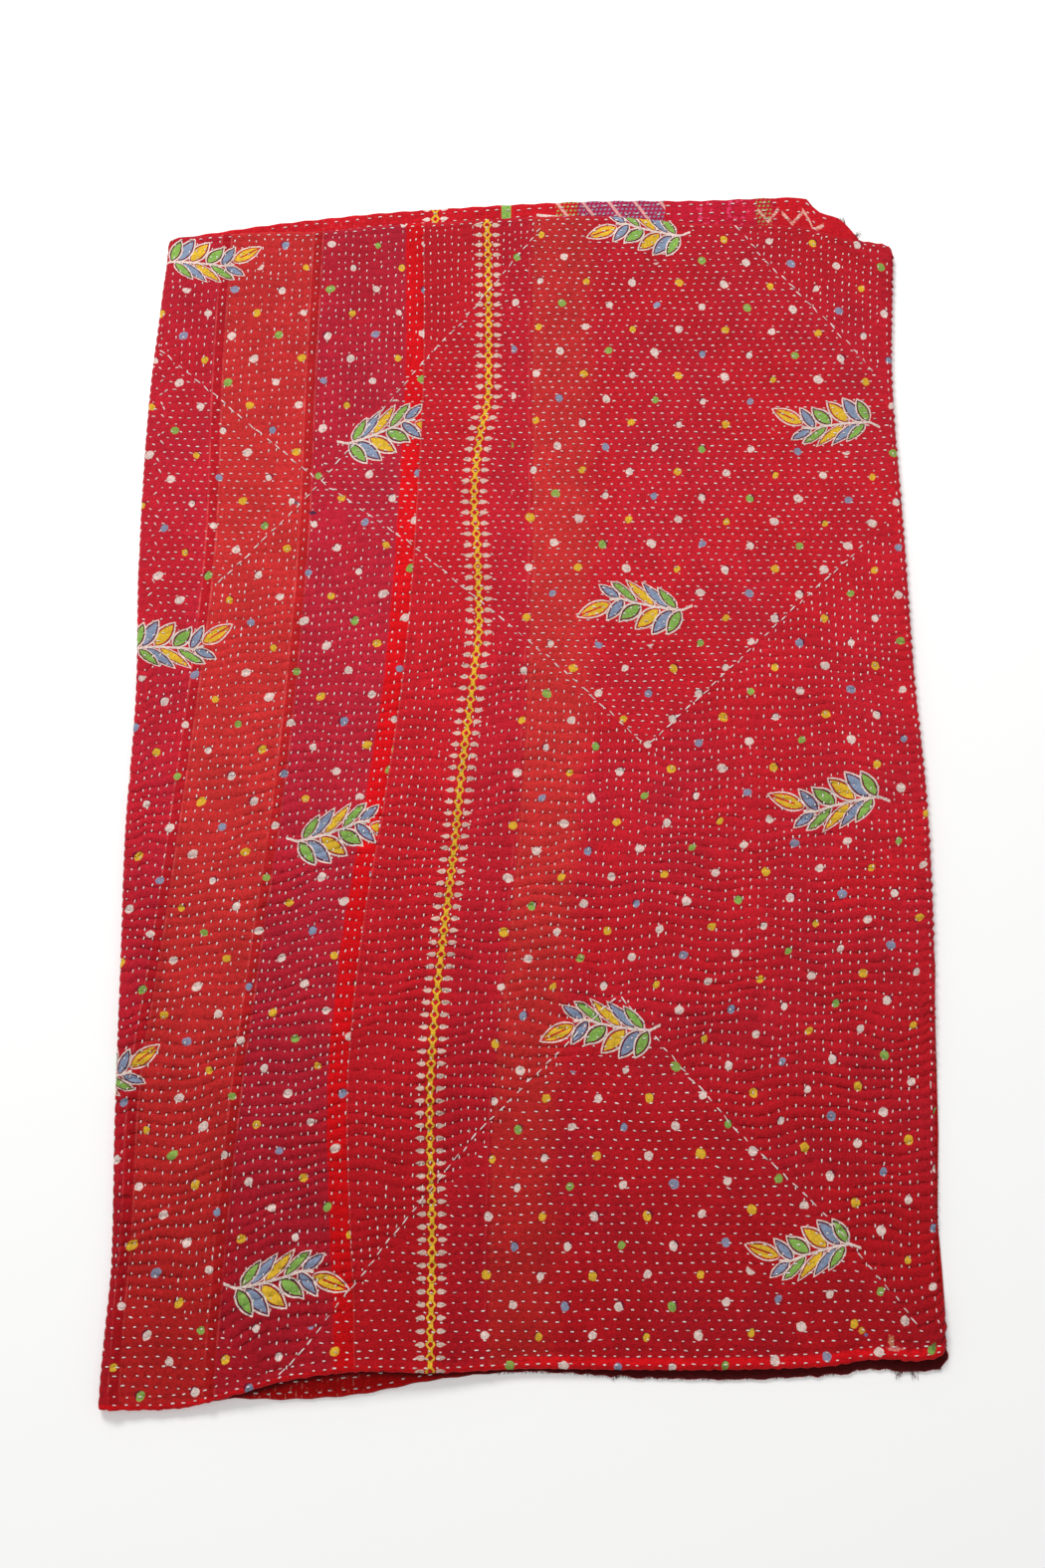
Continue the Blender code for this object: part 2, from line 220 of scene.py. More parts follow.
# How many upright lanes of stitches lie left of each line, and their pitch left of the first
LANES = (("tuck_1", 10), ("tuck_2", 22), ("strip_seam", 37), ("chain", 46), ("tuck_3", 54), ("face_hem", 105))
LANE_PITCH = 0.0084
DRAWN_DOWN = 0.6                  # how far a stitch is drawn from its ends' height to its middle's

# Tufts of frayed thread at the worn corners of the under half, with their heading in degrees
Tuft = namedtuple("Tuft", "root spread heading length count")
TUFTS = (
    Tuft((0.3715, 0.6330), 0.0010, 100, 0.0080, 14),
    Tuft((0.3830, 0.6170), 0.0010, 60, 0.0080, 14),
    Tuft((0.0900, -0.6350), 0.0022, -90, 0.0034, 24),
    Tuft((0.3760, -0.6310), 0.0026, -90, 0.0036, 30),
    Tuft((0.3900, -0.6320), 0.0026, -90, 0.0036, 30),
)

# The near, side and far hems of the under half where they fray: the stretch of each, its threads
# and their mean length
Fray = namedtuple("Fray", "start end count length")
FRAYS = (
    Fray(-0.030, 0.418, 1100, 0.0030),
    Fray(-0.620, -0.300, 420, 0.0022),
    Fray(0.300, 0.390, 90, 0.0016),
)
FRAY_FAN, FRAY_CURL, TUFT_FAN, TUFT_CURL = 0.5, 0.9, 0.12, 0.25   # spread of headings and curls
FRAY_ROOT, FRAY_LOW = 0.001, 0.0006   # how far in threads are rooted, and the height of their tips

# Stains and smudged bits of print on the face
Smudge = namedtuple("Smudge", "x y reach_x reach_y colour share")
SMUDGES = (
    Smudge(-0.2570, 0.2900, 0.0034, 0.0022, (74, 92, 110), 0.8),
    Smudge(-0.2390, 0.2785, 0.0050, 0.0024, (38, 40, 70), 0.9),
    Smudge(0.3373, -0.5907, 0.0044, 0.0036, (220, 176, 60), 0.8),
    Smudge(0.3410, -0.5950, 0.0024, 0.0024, (96, 120, 160), 0.8),
    Smudge(0.3661, -0.6005, 0.0036, 0.0060, (216, 150, 110), 0.7),
    Smudge(0.3700, -0.6080, 0.0080, 0.0030, (228, 160, 150), 0.6),
    Smudge(0.4085, -0.6060, 0.0030, 0.0056, (104, 140, 70), 0.8),
)

# Where along Y the dyes grow deeper, and what they are multiplied by there
SOAKED = ((0.22, 0.66, (0.80, 0.76, 0.80, 1.0)), (0.05, -0.70, (0.69, 0.39, 0.40, 1.0)))

# The tucks' bands: each one's half width, how strong its dye is, and how strong the painted highlight along
# its edges is; the third tuck's faint dark band is painted shade of its ridge
TUCK_BANDS_AND_HIGHLIGHTS = (("tuck_1", 0.0045, 0.62, 0.65), ("tuck_2", 0.0045, 0.66, 0.65), ("tuck_3", 0.0022, 0.1, 0.3))

# The print's half columns and rows of dots, and how far its dots have drifted off a square
# lattice: X and Y drift at stations across each panel, in rows for stations along Y
PRINT_COLUMN, PRINT_ROW = 0.0270, 0.0285
DRIFT_Y = (-0.640, -0.300, 0.000, 0.300, 0.620)
RIGHT_DRIFT_AT = (-0.080, 0.170, 0.420)
RIGHT_DRIFT_X = ((0.064, 0.065, 0.053), (0.077, 0.077, 0.079), (0.099, 0.105, 0.112),
                 (0.115, 0.116, 0.118), (0.127, 0.125, 0.113))
RIGHT_DRIFT_Y = ((0.542, 0.541, 0.559), (0.547, 0.553, 0.568), (0.549, 0.555, 0.562),
                 (0.557, 0.553, 0.546), (0.564, 0.556, 0.547))
LEFT_DRIFT_AT = (-0.420, -0.140)
LEFT_DRIFT_X = ((-0.333, -0.329), (-0.302, -0.290), (-0.266, -0.253), (-0.237, -0.230), (-0.226, -0.223))
LEFT_DRIFT_Y = ((0.484, 0.504), (0.490, 0.499), (0.488, 0.497), (0.486, 0.495), (0.491, 0.490))

# The printed sprigs, from the tip to the end of the stalk. Every other one is mirrored, which
# its side of -1 says.
Sprig = namedtuple("Sprig", "tip stalk side")
SPRIG_LENGTH = 0.126
RIGHT_SPRIGS = (
    Sprig((0.072, 0.615), (0.190, 0.620), -1),
    Sprig((0.280, 0.399), (0.399, 0.379), 1),
    Sprig((0.058, 0.158), (0.183, 0.169), -1),
    Sprig((0.262, -0.044), (0.391, -0.050), 1),
    Sprig((0.016, -0.303), (0.140, -0.288), -1),
    Sprig((0.224, -0.510), (0.340, -0.512), 1),
)
LEFT_SPRIGS = (
    Sprig((-0.307, 0.600), (-0.420, 0.576), -1),
    Sprig((-0.088, 0.377), (-0.212, 0.362), 1),
    Sprig((-0.324, 0.146), (-0.440, 0.113), -1),
    Sprig((-0.131, -0.086), (-0.256, -0.090), 1),
    Sprig((-0.383, -0.310), (-0.493, -0.352), -1),
    Sprig((-0.180, -0.551), (-0.306, -0.547), 1),
)

# Pairs of leaves of a sprig: where each leaves the stalk, its tips from there, and its ink
LeafPair = namedtuple("LeafPair", "base reach spread breadth ink")
LEAF_PAIRS = (
    LeafPair(0.050, -0.0185, 0.0310, 0.0080, "Green"),
    LeafPair(0.041, -0.0265, 0.0340, 0.0086, "Blue"),
    LeafPair(0.027, -0.0300, 0.0320, 0.0088, "Yellow"),
    LeafPair(0.007, -0.0270, 0.0270, 0.0082, "Green"),
    LeafPair(-0.011, -0.0225, 0.0240, 0.0076, "Blue"),
)
STALK_SIDE = 0.0006               # where a leaf starts beside the stalk's middle
TIP_BASE, TIP_END, TIP_BREADTH = (-0.026, 0.011), (-0.0660, -0.002), 0.0098
FAR_SWEEP = -0.0045               # how far the leaves of one side sit behind those of the other
FAR_SPREAD = 1.30                 # how much less the leaves of that side spread

# The print: the dots, the pale outline of a leaf, the chain and its drops, the worn ticks inside,
# and the border, which ends this far from the far hem, with each chevron's middle and foot
DOT_RADIUS, OUTLINE, CHAIN_PITCH = 0.0044, 0.0017, 0.0126
DOT_STRAY = 0.0011                # how far a dot strays off its place
DROP_FROM, DROP_LENGTH, DROP_BREADTH = 0.0058, 0.0102, 0.0074
TICK_COLUMN, TICK_ROW = 0.0052, 0.0115
BORDER_CELL = 0.0050              # pitch of the border's small dots
BORDER_END, BORDER_FADE = 0.060, 0.055
CHEVRONS = ((0.282, 0.030), (0.310, 0.034), (0.334, 0.030))

# Pitch and relief of the weave and of the thread's twist, and the depth of the quilting that the
# materials draw on the face and inside
WEAVE_PITCH, WEAVE_RELIEF = 0.0008, 0.00003
PLY_PITCH, PLY_RELIEF = 0.0009, 0.00006
FACE_RELIEF, BACKING_RELIEF = 0.0007, 0.0005

# How far stitches keep off the edges, and the stretch along Y in which a diamond's rows are sewn
FOLD_CLEAR, SIDE_CLEAR, NEAR_CLEAR, UPRIGHT_CLEAR = 0.006, 0.009, 0.016, 0.011
SEWN_Y = (-0.66, 0.64)

# Upright stitches: how they stray in lanes, in rows and in radians, the share that is gone, and
# the range of their lengths in the mean length
LANE_STRAY, ROW_STRAY, TURN_STRAY, MISSED = 0.07, 0.42, 0.11, 0.02
UPRIGHT_LENGTHS = (0.75, 1.50)

# A diamond's stitches: their lean, how they stray in radians and along Y, and in pitches from row
# to row and along a row, the range of their lengths, and half the span that gives a row's slope
ACROSS_LEAN, ACROSS_TURN, ACROSS_STRAY, ROW_SHIFT, PITCH_STRAY = 0.08, 0.10, 0.0004, 0.08, 0.05
ACROSS_LENGTHS, HALF_SPAN = (0.80, 1.55), 0.004

# The two stitches round the fold in each row, as angles from its top, and how they stray
FOLD_ANGLES, FOLD_TURN, FOLD_STRAY = (0.9, 1.9), 0.12, 0.0008

# Stitches along lines: how they stray from the line and in radians, and the range of their
# lengths; the pitch of the rows at the hems and inside, and of long stitches in their length; the
# stray along a line in pitches, and how far beside a stitch its line's heading is read
Hand = namedtuple("Hand", "stray turn lengths")
LINE_HAND = Hand(0.0005, 0.10, (0.7, 1.2))
HEM_HAND = Hand(0.0003, 0.08, (0.8, 1.5))
INNER_HAND = Hand(0.0006, 0.0, (0.5, 0.85))
HEM_ROW_PITCH, INNER_ROW_PITCH, LONG_PITCH = 0.0112, 0.0125, 1.35
ALONG_STRAY, BESIDE = 0.06, 0.003

# The rows at the face's hems, and those inside at the far hem's border and under the arch: how far
# in they lie, and the stretches that they run along
NEAR_ROWS, SIDE_ROW = (0.0045, 0.0120), 0.0045
INNER_FAR_ROWS, INNER_NEAR_ROWS = (0.006, 0.017, 0.027), (0.005, 0.016)
HEM_STRETCH, SIDE_STRETCH = (-0.415, 0.415), (-0.600, 0.590)
BORDER_STRETCH, ARCH_STRETCH = (-0.300, 0.355), (-0.290, -0.090)

# The kinds of sewing whose unevenness is drawn apart, each with the next seed
DRAWS = ("upright", "across", "lines", "hems", "widths", "inner", "frays", "fold")

# A stitch: its sides and where its rings lie along it, and in shares of its rise how far its ends
# dip, how high it arches, how far the arch is raised, and how far its ends stand on the cloth
STITCH_SIDES, STITCH_RINGS = 5, (0.24, 0.76)
STITCH_DIP, STITCH_ARCH, STITCH_RAISED, STITCH_SEAT = 0.8, 0.75, 0.15, 0.4

# A frayed thread: its joints and sides, its highest hump, the share of its width that it loses
# towards its tip, and how far it keeps off the floor
STRAND_JOINTS, STRAND_SIDES = 5, 3
STRAND_HUMP, STRAND_TAPER, STRAND_CLEAR = 0.0012, 0.6, 0.0001

# The stage, and what the shaders share
FLOOR_WIDTH, FLOOR_TOP, FLOOR_GLOW = 14.0, -0.0004, 0.12
KEY_PLACE, KEY_SIZE = (-1.2, 3.0, 2.6), (1.5, 1.0)
ORIGIN = (0.0, 0.0, 0.0)
WHITE = (1.0, 1.0, 1.0, 1.0)
INKS = ("White", "Yellow", "Green", "Blue")


def tint(red, green, blue):
    """A colour as Blender holds it, from its red, green and blue out of 255."""
    shares = (red / 255, green / 255, blue / 255)
    return tuple(s / 12.92 if s <= 0.04045 else ((s + 0.055) / 1.055) ** 2.4 for s in shares) + (1.0,)


# The first colour on the next line is the painted highlight along the tucks' edges.
TUCK_EDGE_HIGHLIGHT, PALE_SEAM = tint(226, 92, 90), tint(228, 96, 96)
# The second colour on the next line is the painted shade in the grooves between a thread's plies.
SOILED_THREAD, PLY_GROOVE_SHADE = tint(200, 150, 148), tint(214, 176, 170)
FRAY_DARK, FRAY_LIGHT = tint(52, 10, 12), tint(120, 18, 22)
# The last colour on the next line is the dark red of painted shadow and shade at the near hem.
DROP_PALE, TICK_PINK, NEAR_HEM_PAINTED_SHADE = tint(222, 200, 184), tint(226, 150, 130), tint(48, 8, 10)
BORDER_RED, BORDER_PLUM, BORDER_CRIMSON = tint(196, 24, 40), tint(150, 42, 92), tint(190, 24, 48)
BAR_PINK, FLORET_PINK, CHEVRON_PINK = tint(236, 170, 164), tint(232, 70, 112), tint(232, 176, 160)
FLOOR_SHADE = tint(242, 242, 242)


def colour_property(name, description, *default):
    return FloatVectorProperty(
        name=name, description=description, default=tint(*default), subtype="COLOR", size=4, min=0.0, max=1.0)


def length_property(name, description, default):
    return FloatProperty(
        name=name, description=description, default=default, unit="LENGTH", min=0.0, precision=4)


class QuiltClothSettings(bpy.types.PropertyGroup):
    """Sizes and dyes of the cloth."""

    thickness: length_property("Thickness", "Thickness of each half of the folded quilt", 0.003)
    layer_gap: length_property("Layer gap", "Air between the two halves", 0.0015)
    fold_gap: length_property("Fold gap", "Air inside the loop of the fold", 0.004)
    ripples: IntProperty(
        name="Ripples", description="Puckers from the near hem to the far hem", default=116, min=8)
    ripple_height: length_property("Ripple height", "Height of a pucker between its stitches", 0.0010)
    diamond_ripple: length_property("Diamond ripple", "Height of a pucker inside a diamond", 0.0005)
    diamond_crown: length_property("Diamond crown", "How far a diamond's field swells", 0.0009)
    edge_round: length_property("Edge round", "How far a hem's edge bulges", 0.0010)
    crimson: colour_property("Crimson", "Dye of the main cloth", 202, 29, 41)
    purple: colour_property("Purple", "Dye of the cloth where a purple layer shows through", 188, 34, 54)
    orange: colour_property("Orange", "Dye of the cloth where an orange layer shows through", 203, 47, 47)
    bright: colour_property("Bright", "Dye of the bright strip and of the turned hem", 224, 12, 22)
    tuck: colour_property("Tuck", "Dye where a tuck doubles the cloth", 182, 16, 24)
    backing: colour_property("Backing", "Dye of the plain inside", 220, 20, 20)


class QuiltPrintSettings(bpy.types.PropertyGroup):
    """Sizes and inks of the print."""

    dot_radius: length_property("Dot radius", "Radius of a printed dot", DOT_RADIUS)
    outline: length_property("Outline", "Width of the pale outline of a leaf", OUTLINE)
    chain_pitch: length_property("Chain pitch", "Pitch of the printed chain", CHAIN_PITCH)
    white: colour_property("White", "Ink of the pale dots, drops and outlines", 228, 208, 198)
    yellow: colour_property("Yellow", "Ink of the yellow dots, leaves and chain", 224, 180, 50)
    green: colour_property("Green", "Ink of the green dots and leaves", 134, 176, 82)
    blue: colour_property("Blue", "Ink of the blue dots and leaves", 133, 147, 173)
    shade: colour_property("Shade", "Dark edge where a colour is printed off its place", 86, 16, 48)


class QuiltSewingSettings(bpy.types.PropertyGroup):
    """Sizes of the running stitch."""

    stitch_length: length_property("Stitch length", "Mean length of a running stitch", 0.0036)
    thread_width: length_property("Thread width", "Width of the sewing thread", 0.0015)
    thread_rise: length_property("Thread rise", "How far a stitch stands on the cloth", 0.0008)
    long_stitch: length_property("Long stitch", "Mean length of a stitch of the diamond lines", 0.0100)
    fray_width: length_property("Fray width", "Width of a frayed thread", 0.0006)
    lean: FloatProperty(
        name="Lean", description="How far an upright stitch leans", default=math.radians(5), subtype="ANGLE")
    seed: IntProperty(name="Seed", description="Seed of the hand's unevenness", default=7)
    thread: colour_property("Thread", "Dye of the sewing thread", 255, 250, 246)


class QuiltStageSettings(bpy.types.PropertyGroup):
    """The floor, the camera and the light."""

    floor: colour_property("Floor", "Colour of the floor", 252, 252, 251)
    camera_place: FloatVectorProperty(
        name="Camera place", description="Where the camera stands", default=(-0.0045, -0.3435, 1.621),
        subtype="TRANSLATION", unit="LENGTH")
    camera_tilt: FloatProperty(
        name="Camera tilt", description="How far the camera looks forward of straight down",
        default=math.radians(11), subtype="ANGLE")
    lens: FloatProperty(name="Lens", description="Focal length in millimetres on a 36 mm side", default=35.0)
    key_power: FloatProperty(name="Key power", description="Power of the soft main light", default=116.0)
    sky: FloatProperty(name="Sky", description="Strength of the light from all round", default=0.53)


# Reading the cloth's lines and folds


def mix(low, high, share):
    """The value a share of the way from low to high."""
    return low + (high - low) * share


def smooth_step(value):
    """Ease from 0 to 1 as the value goes from 0 to 1."""
    value = np.clip(value, 0.0, 1.0)
    return value * value * (3.0 - 2.0 * value)


def wave(turns, start=0.0):
    """A sine of a number of turns."""
    return np.sin(2 * np.pi * turns + start)


def waves(at, table):
    """The sum of waves of a height, a rate and a start."""
    return sum(height * np.sin(at * rate + start) for height, rate, start in table)


def read_table(rows, columns, name, at):
    """A table's column at stations, on a smooth curve through its rows."""
    table = np.array(rows)
    stations, values = table[:, 0], table[:, columns.index(name)]
    last = len(rows) - 1
    at = np.clip(at, stations[0], stations[-1])
    i = np.clip(np.searchsorted(stations, at) - 1, 0, last - 1)
    before, after = np.maximum(i - 1, 0), np.minimum(i + 2, last)
    span = stations[i + 1] - stations[i]
    share = (at - stations[i]) / span
    slope_start = (values[i + 1] - values[before]) / (stations[i + 1] - stations[before]) * span
    slope_end = (values[after] - values[i]) / (stations[after] - stations[i]) * span
    square, cube = share ** 2, share ** 3
    return ((2 * cube - 3 * square + 1) * values[i] + (cube - 2 * square + share) * slope_start
            + (3 * square - 2 * cube) * values[i + 1] + (cube - square) * slope_end)


def line_x(name, y):
    """X of a named line at stations along the quilt."""
    return read_table(LINES, LINE_COLUMNS, name, y)


def hem(name, x):
    """A named value of the end hems at stations across the quilt."""
    return read_table(HEMS, HEM_COLUMNS, name, x)


def rounding(from_edge, radius):
    """How far a hem draws back near a rounded corner, this far from the edge beside it."""
    into = np.clip(1.0 - from_edge / radius, 0.0, 1.0)
    return radius * (1.0 - np.sqrt(1.0 - into * into))


def along_y(x, share, under):
    """Y at a share of the length; under is 0 on the face and 1 on the under half."""
    free = LINE_COLUMNS.index("face_hem")
    near = mix(hem("face_near", x), hem("under_near", x), under) + rounding(LINES[0][free] - x, ROUND_FREE)
    far = mix(hem("face_far", x), hem("under_far", x), under) - rounding(x - LINES[-1][1], ROUND_FOLD)
    far = far - rounding(LINES[-1][free] - x, ROUND_FREE) * (1.0 - under)
    return mix(near, far, share)


def in_frame(points):
    """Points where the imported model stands, which was moved to be centred on its origin."""
    y = np.linspace(NEAR_Y, FAR_Y, OUTLINE_STATIONS)
    x = np.linspace(-HALF_ACROSS, HALF_ACROSS, OUTLINE_STATIONS)
    low_y = min(hem("face_near", x).min(), hem("under_near", x).min())
    return points + np.array([FRAME_LOW[0] - line_x("fold", y).min(), FRAME_LOW[1] - low_y, 0.0])


def depth_inside(corners, x, y):
    """How far points lie inside a polygon with anticlockwise corners; negative outside."""
    depth = np.full(np.shape(x), np.inf)
    for (ax, ay), (bx, by) in zip(corners, corners[1:] + corners[:1]):
        length = math.hypot(bx - ax, by - ay)
        depth = np.minimum(depth, ((bx - ax) * (y - ay) - (by - ay) * (x - ax)) / length)
    return depth


def diamond_share(x, y, fade):
    """1 inside a stitched diamond and 0 outside it."""
    depth = np.maximum.reduce([depth_inside(diamond.corners, x, y) for diamond in DIAMONDS])
    return smooth_step(0.5 + depth / fade)


def weight(y):
    """0 in the calm far end of the quilt, 1 in the deeply puckered near end."""
    return smooth_step((CALM_Y - y) / CALM_FADE)


def row_sway(x, y):
    """How far a row of puckers wanders along the quilt."""
    bend = 1.3 * wave(y / 0.19)
    return (0.0026 * wave(x / 0.31 + y / 0.47, 0.6)
            + mix(0.0016, 0.0034, weight(y)) * wave(x / 0.118 - y / 0.26, 1.9 + bend)
            + 0.0010 * wave(x / 0.057 + y / 0.15, 0.7 * bend))


def pull(x, y):
    """How strongly the quilting puckers the cloth, patch by patch, about 1 in the middle."""
    broad = wave(x / 0.21 - y / 0.33, 0.4) * wave(y / 0.27 + x / 0.5, 2.0)
    small = wave(x / 0.046 + y / 0.12) * wave(y / 0.038 - x / 0.19, 1.0)
    patchiness = 0.5 + 0.28 * broad + 0.22 * small
    return (0.45 + 1.1 * patchiness) * mix(FAR_PULL, NEAR_PULL, weight(y))


def across_phase(x, y):
    """Counts of stitches along X and of rows along Y in the diamonds' own quilting."""
    swayed = y - DIAMOND_SWAY * row_sway(x, y)
    along, rows = x / DIAMONDS[0].stitch_pitch, swayed / DIAMONDS[0].row_gap
    for diamond in DIAMONDS[1:]:
        inside = depth_inside(diamond.corners, x, y) > -DIAMOND_MARGIN
        along = np.where(inside, x / diamond.stitch_pitch, along)
        rows = np.where(inside, swayed / diamond.row_gap, rows)
    return along, rows


def inner_height(size, x, y, shoulder_x):
    """Height of the underside of the upper half."""
    eased_in = smooth_step((x - shoulder_x) / FOLD_EASE)
    fold_swell = (size.fold_gap - size.layer_gap) * (1.0 - eased_in)
    lift = np.maximum(hem("lift", x), 0.0) * (1.0 - smooth_step((y - hem("face_near", x)) / LIFT_REACH))
    rise = 0.0
    for swell in SWELLS:
        away = ((x - swell.x) / swell.reach_x) ** 2 + ((y - swell.y) / swell.reach_y) ** 2
        rise = rise + swell.height * np.exp(-away)
    return size.thickness + size.layer_gap + fold_swell + lift + rise * eased_in


class Face:
    """The upper face of the folded quilt as a grid of points, row by row along the quilt."""

    def __init__(self, size):
        self.size = size
        self.columns = self.spread_columns()
        self.last = len(self.columns) - 1
        self.rows = size.ripples * ROWS_PER_RIPPLE
        turn = np.arange(self.rows + 1) / self.rows
        self.share = turn + NEAR_SPREAD * turn * (1.0 - turn)
        self.station = mix(NEAR_Y, FAR_Y, self.share)
        self.shoulder = line_x("fold", self.station) + size.thickness + size.fold_gap / 2
        self.x = self.column_places()
        self.y = self.row_places(turn)
        self.lane = self.lanes()
        self.z = self.heights()

    @staticmethod
    def spread_columns():
        """Every column: its neighbours in the table, the share between them, its ridge."""
        columns = []
        for here, after in zip(FACE_COLUMNS, FACE_COLUMNS[1:]):
            steps = here.plain_after + 1
            for share in (step / steps for step in range(steps)):
                columns.append((here, after, share, mix(here.ridge, after.ridge, share)))
        hem_edge = FACE_COLUMNS[-1]
        return columns + [(hem_edge, hem_edge, 0.0, hem_edge.ridge)]

    def column_places(self):
        """X of each point: columns run between the lines, and the free hem is scalloped."""
        at_line = {name: line_x(name, self.station) for name in LINE_COLUMNS[1:]}
        places = np.array([
            mix(at_line[left.line] + left.offset, at_line[right.line] + right.offset, share)
            for left, right, share, _ridge in self.columns]).T
        row = np.arange(self.rows + 1)
        scallop = SCALLOP * np.cos(2 * np.pi * row / ROWS_PER_RIPPLE) * (0.6 + 0.4 * np.sin(row * 0.37))
        places[:, -1] -= scallop
        places[:, -2] -= 0.6 * scallop
        return places

    def row_places(self, turn):
        """Y of each point: rows wander with the puckers and are still at the end hems."""
        y = along_y(self.x, self.share[:, None], 0.0)
        still = smooth_step(turn / STILL_END) * smooth_step((1.0 - turn) / STILL_END)
        y = y + row_sway(self.x, y) * still[:, None]
        jag = waves(self.x[0], FACE_JAG)
        y[0] += jag
        y[-1] -= jag
        return y

    def lanes(self):
        """Which upright lane of stitches each point lies in, counted from the fold."""
        names, counts = zip(*LANES)
        lines = np.array([line_x(name, self.station) for name in names])
        lane = np.array([np.interp(x, at, counts) for x, at in zip(self.x, lines.T)])
        left_of_first = lines[0][:, None] - self.x
        return np.where(left_of_first > 0, counts[0] - left_of_first / LANE_PITCH, lane)

    def heights(self):
        """Z of each point: the drape, the ridges of the tucks and strip, and the puckers."""
        size, x, y = self.size, self.x, self.y
        row = np.arange(self.rows + 1)[:, None]
        crest = np.abs(np.sin(np.pi * row / ROWS_PER_RIPPLE)) ** CREST_SHAPE
        ripple = size.ripple_height * crest * pull(x, y)
        across = size.diamond_ripple * np.abs(np.sin(np.pi * across_phase(x, y)[1]))
        ridges = np.array([column[3] for column in self.columns])
        z = inner_height(size, x, y, self.shoulder[:, None]) + size.thickness + ridges
        z = z + mix(ripple, across + size.diamond_crown, diamond_share(x, y, DIAMOND_FADE))
        shoulder = SHOULDER_PULL * (ripple[:, 0] - size.ripple_height)
        z[:, 0] = 2 * size.thickness + size.fold_gap + shoulder
        from_near = y - hem("face_near", x)
        turned = np.where(x > FULL_ROLL_X, 1.0, WORN_ROLL)
        for height, place, width in HEM_ROLLS:
            z = z + height * turned * np.exp(-((from_near - place) / width) ** 2)
        for edge in (z[0], z[-1], z[:, -1]):
            edge -= EDGE_SINK
        return z

    def place(self, column, row):
        """Points of the face at fractional columns and rows."""
        c0 = np.clip(np.floor(column).astype(int), 0, self.last - 1)
        r0 = np.clip(np.floor(row).astype(int), 0, self.rows - 1)
        c, r = column - c0, row - r0
        points = []
        for grid in (self.x, self.y, self.z):
            near = mix(grid[r0, c0], grid[r0, c0 + 1], c)
            far = mix(grid[r0 + 1, c0], grid[r0 + 1, c0 + 1], c)
            points.append(mix(near, far, r))
        return np.stack(points, axis=-1)

    def on_face(self, spots):
        """Points on the face above places given by their X and Y."""
        x, y = spots[:, 0], spots[:, 1]
        row, column = np.full(x.shape, self.rows / 2.0), np.zeros(x.shape)
        for _step in range(5):
            whole = np.clip(np.round(row).astype(int), 0, self.rows)
            for i, r in enumerate(whole):
                column[i] = np.interp(x[i], self.x[r], np.arange(self.last + 1))
            whole = np.clip(np.round(column).astype(int), 0, self.last)
            for i, c in enumerate(whole):
                row[i] = np.interp(y[i], self.y[:, c], np.arange(self.rows + 1))
        return self.place(column, row)


class Skin:
    """Collects points with their flat place on the cloth, and faces with their material."""

    FACE, INSIDE = 0, 1

    def __init__(self):
        self.points, self.flat, self.faces, self.finish = [], [], [], []

    def add(self, points, flat):
        """Add a run of points with their flat X, Y, lane and ripple; returns their numbers."""
        start = len(self.points)
        self.points.extend(np.asarray(points).tolist())
        self.flat.extend(np.asarray(flat).tolist())
        return list(range(start, len(self.points)))

    def bridge(self, first, second, finish):
        """Fill between two runs of points, each a dict from a count to a point's number."""
        shared = sorted(first.keys() & second.keys())
        for start, end in zip(shared, shared[1:]):
            there = [first[k] for k in range(start, end + 1) if k in first]
            back = [second[k] for k in range(end, start - 1, -1) if k in second]
            self.faces.append(list(dict.fromkeys(there + back)))
            self.finish.append(finish)


def sparse_rows(rows):
    """The rows that the plain skins keep: all at the end hems, and few between them."""
    middle = range(DENSE_END_ROWS, rows - DENSE_END_ROWS, SPARSE_STEP)
    return [*range(DENSE_END_ROWS), *middle, *range(rows - DENSE_END_ROWS, rows + 1)]


